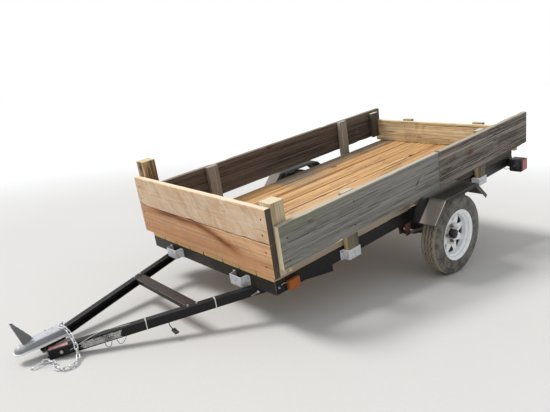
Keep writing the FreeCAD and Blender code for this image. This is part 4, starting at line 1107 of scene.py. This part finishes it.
cable_tie("cable_tie_front", 547)
cable_tie("cable_tie_rear", 208)
wire("ground_wire", [arm_web(893, -103, 3), arm_web(868, -92, 4), arm_web(828, -78, 5), (785, 140, -66),
                     (735, 152, -60), (690, 166, -65), (650, 180, -71), (612, 190, -73.2)], 2.4,
     "white_wire", "white_paint")
wire("lamp_wire_front", [arm_web(744, -122, 2.2), arm_web(743, -140, 2.4), arm_web(732, -153, 3),
                         arm_web(718, -148, 2.4), arm_web(712, -122, 2.2)], 3)
wire("lamp_wire_middle", [arm_web(690, -122, 2.2), arm_web(688, -142, 2.4), arm_web(677, -158, 3),
                          arm_web(658, -146, 2.4), arm_web(645, -121, 2.2)], 2.6)
for side, place in SIDES:
    wire("marker_wire_" + place, [(-40, side * 611.4, -30), (-52, side * 613, -24), (-64, side * 613.5, -26),
                                  (-80, side * 612.5, -34)], 2.4, "white_wire", "white_paint")
    wire("lamp_wire_" + place, [(-2300, side * 611.6, -64), (-2325, side * 616, -84),
                                (-2350, side * 622, -92), (-2372, side * 640, -80),
                                (-2380, side * 650, -66)], 4)
fender_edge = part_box("fender_left")[1][1] * 1000 + 0.3
for side, place in SIDES:
    wire("fender_edge_" + place, [(x, side * fender_edge, z) for x, z in (
        (-1229, 57.5), (-1208, 37), (-1187.5, 17.5), (-1145, -24), (-1107.5, -60))], 3.4, "bright_edge",
         "black_steel")
wire("hairpin", [arm_web(-12, -99, 9), arm_web(2, -103, 9), arm_web(16, -110, 8), arm_web(28, -112, 8),
                 arm_web(30, -116, 8), arm_web(20, -117, 8), arm_web(8, -112, 8), arm_web(-14, -108, 9)], 2.6,
     "bolt_zinc", "zinc_steel")
fasteners("hitch_pin", [(arm_web(-10, -103, -0.2), ARM_OUTWARDS)], 6.5, 14, "bolt_zinc", sides=14)


def worn_patch(name, corners, lift, finish):
    """Blank rest of a stuck-on strip, ragged at its edges, a third of a millimetre thick."""
    first, second, third, fourth = corners
    middle = (first + second + third + fourth) / 4
    bm = bmesh.new()
    outlines = []
    for level in (0.05, 0.4):
        rows = []
        for row in range(6):
            line = []
            for column in range(23):
                u, v = column / 22, row / 5
                spot = (first * (1 - u) + second * u) * (1 - v) + (fourth * (1 - u) + third * u) * v
                if row in (0, 5) or column in (0, 22):
                    spot = spot + (middle - spot) * abs(noise.noise(spot * 0.11)) * 0.3
                line.append(bm.verts.new(spot + lift * level))
            rows.append(line)
        join_rows(bm, rows)
        outlines.append(rows[0][:-1] + [line[-1] for line in rows[:-1]] + rows[-1][:0:-1]
                        + [line[0] for line in rows[:0:-1]])
    join_rows(bm, outlines, True)
    bm.transform(LEVEL_MILLIMETRES)
    add_piece(name, bm, finish, "black_steel")


worn_patch("worn_patch_web", [arm_web(850, -119), arm_web(660, -121), arm_web(660, -81), arm_web(850, -84)],
           ARM_OUTWARDS, "grey_patch")
worn_patch("worn_patch_flange", [arm_web(985, -76, -6), arm_web(895, -76, -6), arm_web(895, -76, -36),
                                 arm_web(985, -76, -36)], Vector(UP), "pink_patch")

for node, finish in (("crossmembers", "rail_black"), ("tongue_spacer", "brace_brown"),
                     ("fender_brackets", "rail_black"), ("axle_beam", "black_steel"),
                     ("spring_hangers", "hanger_rust"), ("spring_left", "spring_steel"),
                     ("spring_right", "spring_steel"), ("spring_clamps", "spring_steel")):
    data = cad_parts[node].data
    data.materials.clear()
    data.materials.append(FINISH[finish])

ARM_BOTTOM = -126


def over_floor(x, y, height):
    """Point of the parked trailer at a height over the floor, from level x and y."""
    floor = ARM_BOTTOM - (ARM_TIP_X - x) * math.tan(PARK_ANGLE)
    spot = LEVEL_MILLIMETRES @ Vector((x, y, floor))
    return Vector((spot.x, spot.y, height / 1000))


# The trailer plug hangs on its lead, under the left arm
LEAD_ROUTE = ((452, 256, 85.3), (452, 258, 71), (450, 271, 61), (447, 286, 54))
lead_points = [over_floor(*point) for point in LEAD_ROUTE]
lead = round_line("plug_lead_jacket", lead_points, 0.0025, 3)
lead.data.materials.append(FINISH["cord_jacket"])
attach(lead, "root")
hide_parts("plug_lead")

floor_finish = Finish("studio_floor")
floor_place = floor_finish.node("ShaderNodeTexCoord", {}, {}, "Object")
floor_x, floor_y = floor_place.parts()[:2]
floor_grit = floor_place.grain(60, 5, 0.6)
near = floor_finish.blend((0.6, 0.585, 0.56), (0.68, 0.665, 0.64),
                          floor_grit * 0.5 + floor_place.grain(0.8, 4, 0.5) * 0.5)
floor_finish.cover(floor_finish.blend(near, (0.9, 0.9, 0.9), distance(floor_x, floor_y).fade(2.6, 7.5)), 0.85,
                   floor_grit, 0.0008)
floor_mesh = bmesh.new()
bmesh.ops.create_grid(floor_mesh, x_segments=2, y_segments=2, size=40)
floor = new_object("studio_floor", bpy.data.meshes.new("studio_floor"))
floor_mesh.to_mesh(floor.data)
floor_mesh.free()
floor.data.materials.append(FINISH["studio_floor"])

window = new_object("window", bpy.data.lights.new("window", "SUN"))
window.data.energy = 2.5
window.data.angle = math.radians(22)
window.rotation_euler = Vector((-0.42, 0.5, -0.92)).to_track_quat("-Z", "Y").to_euler()

world = bpy.data.worlds.new("studio")
bpy.context.scene.world = world
world.use_nodes = True
tree = world.node_tree
ambient = tree.nodes["Background"]
ambient.inputs["Color"].default_value = (0.93, 0.96, 1, 1)
ambient.inputs["Strength"].default_value = 0.62
backdrop = tree.nodes.new("ShaderNodeBackground")
backdrop.inputs["Color"].default_value = (1, 1, 1, 1)
backdrop.inputs["Strength"].default_value = 1
# Camera, transmission and glossy rays see the white backdrop, the rest the softer ambient light
ray = tree.nodes.new("ShaderNodeLightPath")
straight = tree.nodes.new("ShaderNodeMath")
straight.operation = "MAXIMUM"
plainly = tree.nodes.new("ShaderNodeMath")
plainly.operation = "MAXIMUM"
mixed = tree.nodes.new("ShaderNodeMixShader")
for output, socket in ((ray.outputs["Is Camera Ray"], straight.inputs[0]),
                       (ray.outputs["Is Transmission Ray"], straight.inputs[1]),
                       (straight.outputs[0], plainly.inputs[0]),
                       (ray.outputs["Is Glossy Ray"], plainly.inputs[1]),
                       (plainly.outputs[0], mixed.inputs[0]), (ambient.outputs[0], mixed.inputs[1]),
                       (backdrop.outputs[0], mixed.inputs[2]),
                       (mixed.outputs[0], tree.nodes["World Output"].inputs["Surface"])):
    tree.links.new(output, socket)

camera = new_object("camera", bpy.data.cameras.new("camera"))
camera.data.sensor_width = 36
camera.data.lens = 36.055
camera.location = (2.370936, 2.587543, 1.286098)
camera.rotation_euler = (1.339899, 0.025238, 2.425597)
bpy.context.scene.camera = camera
bpy.context.scene.view_settings.view_transform = "Standard"
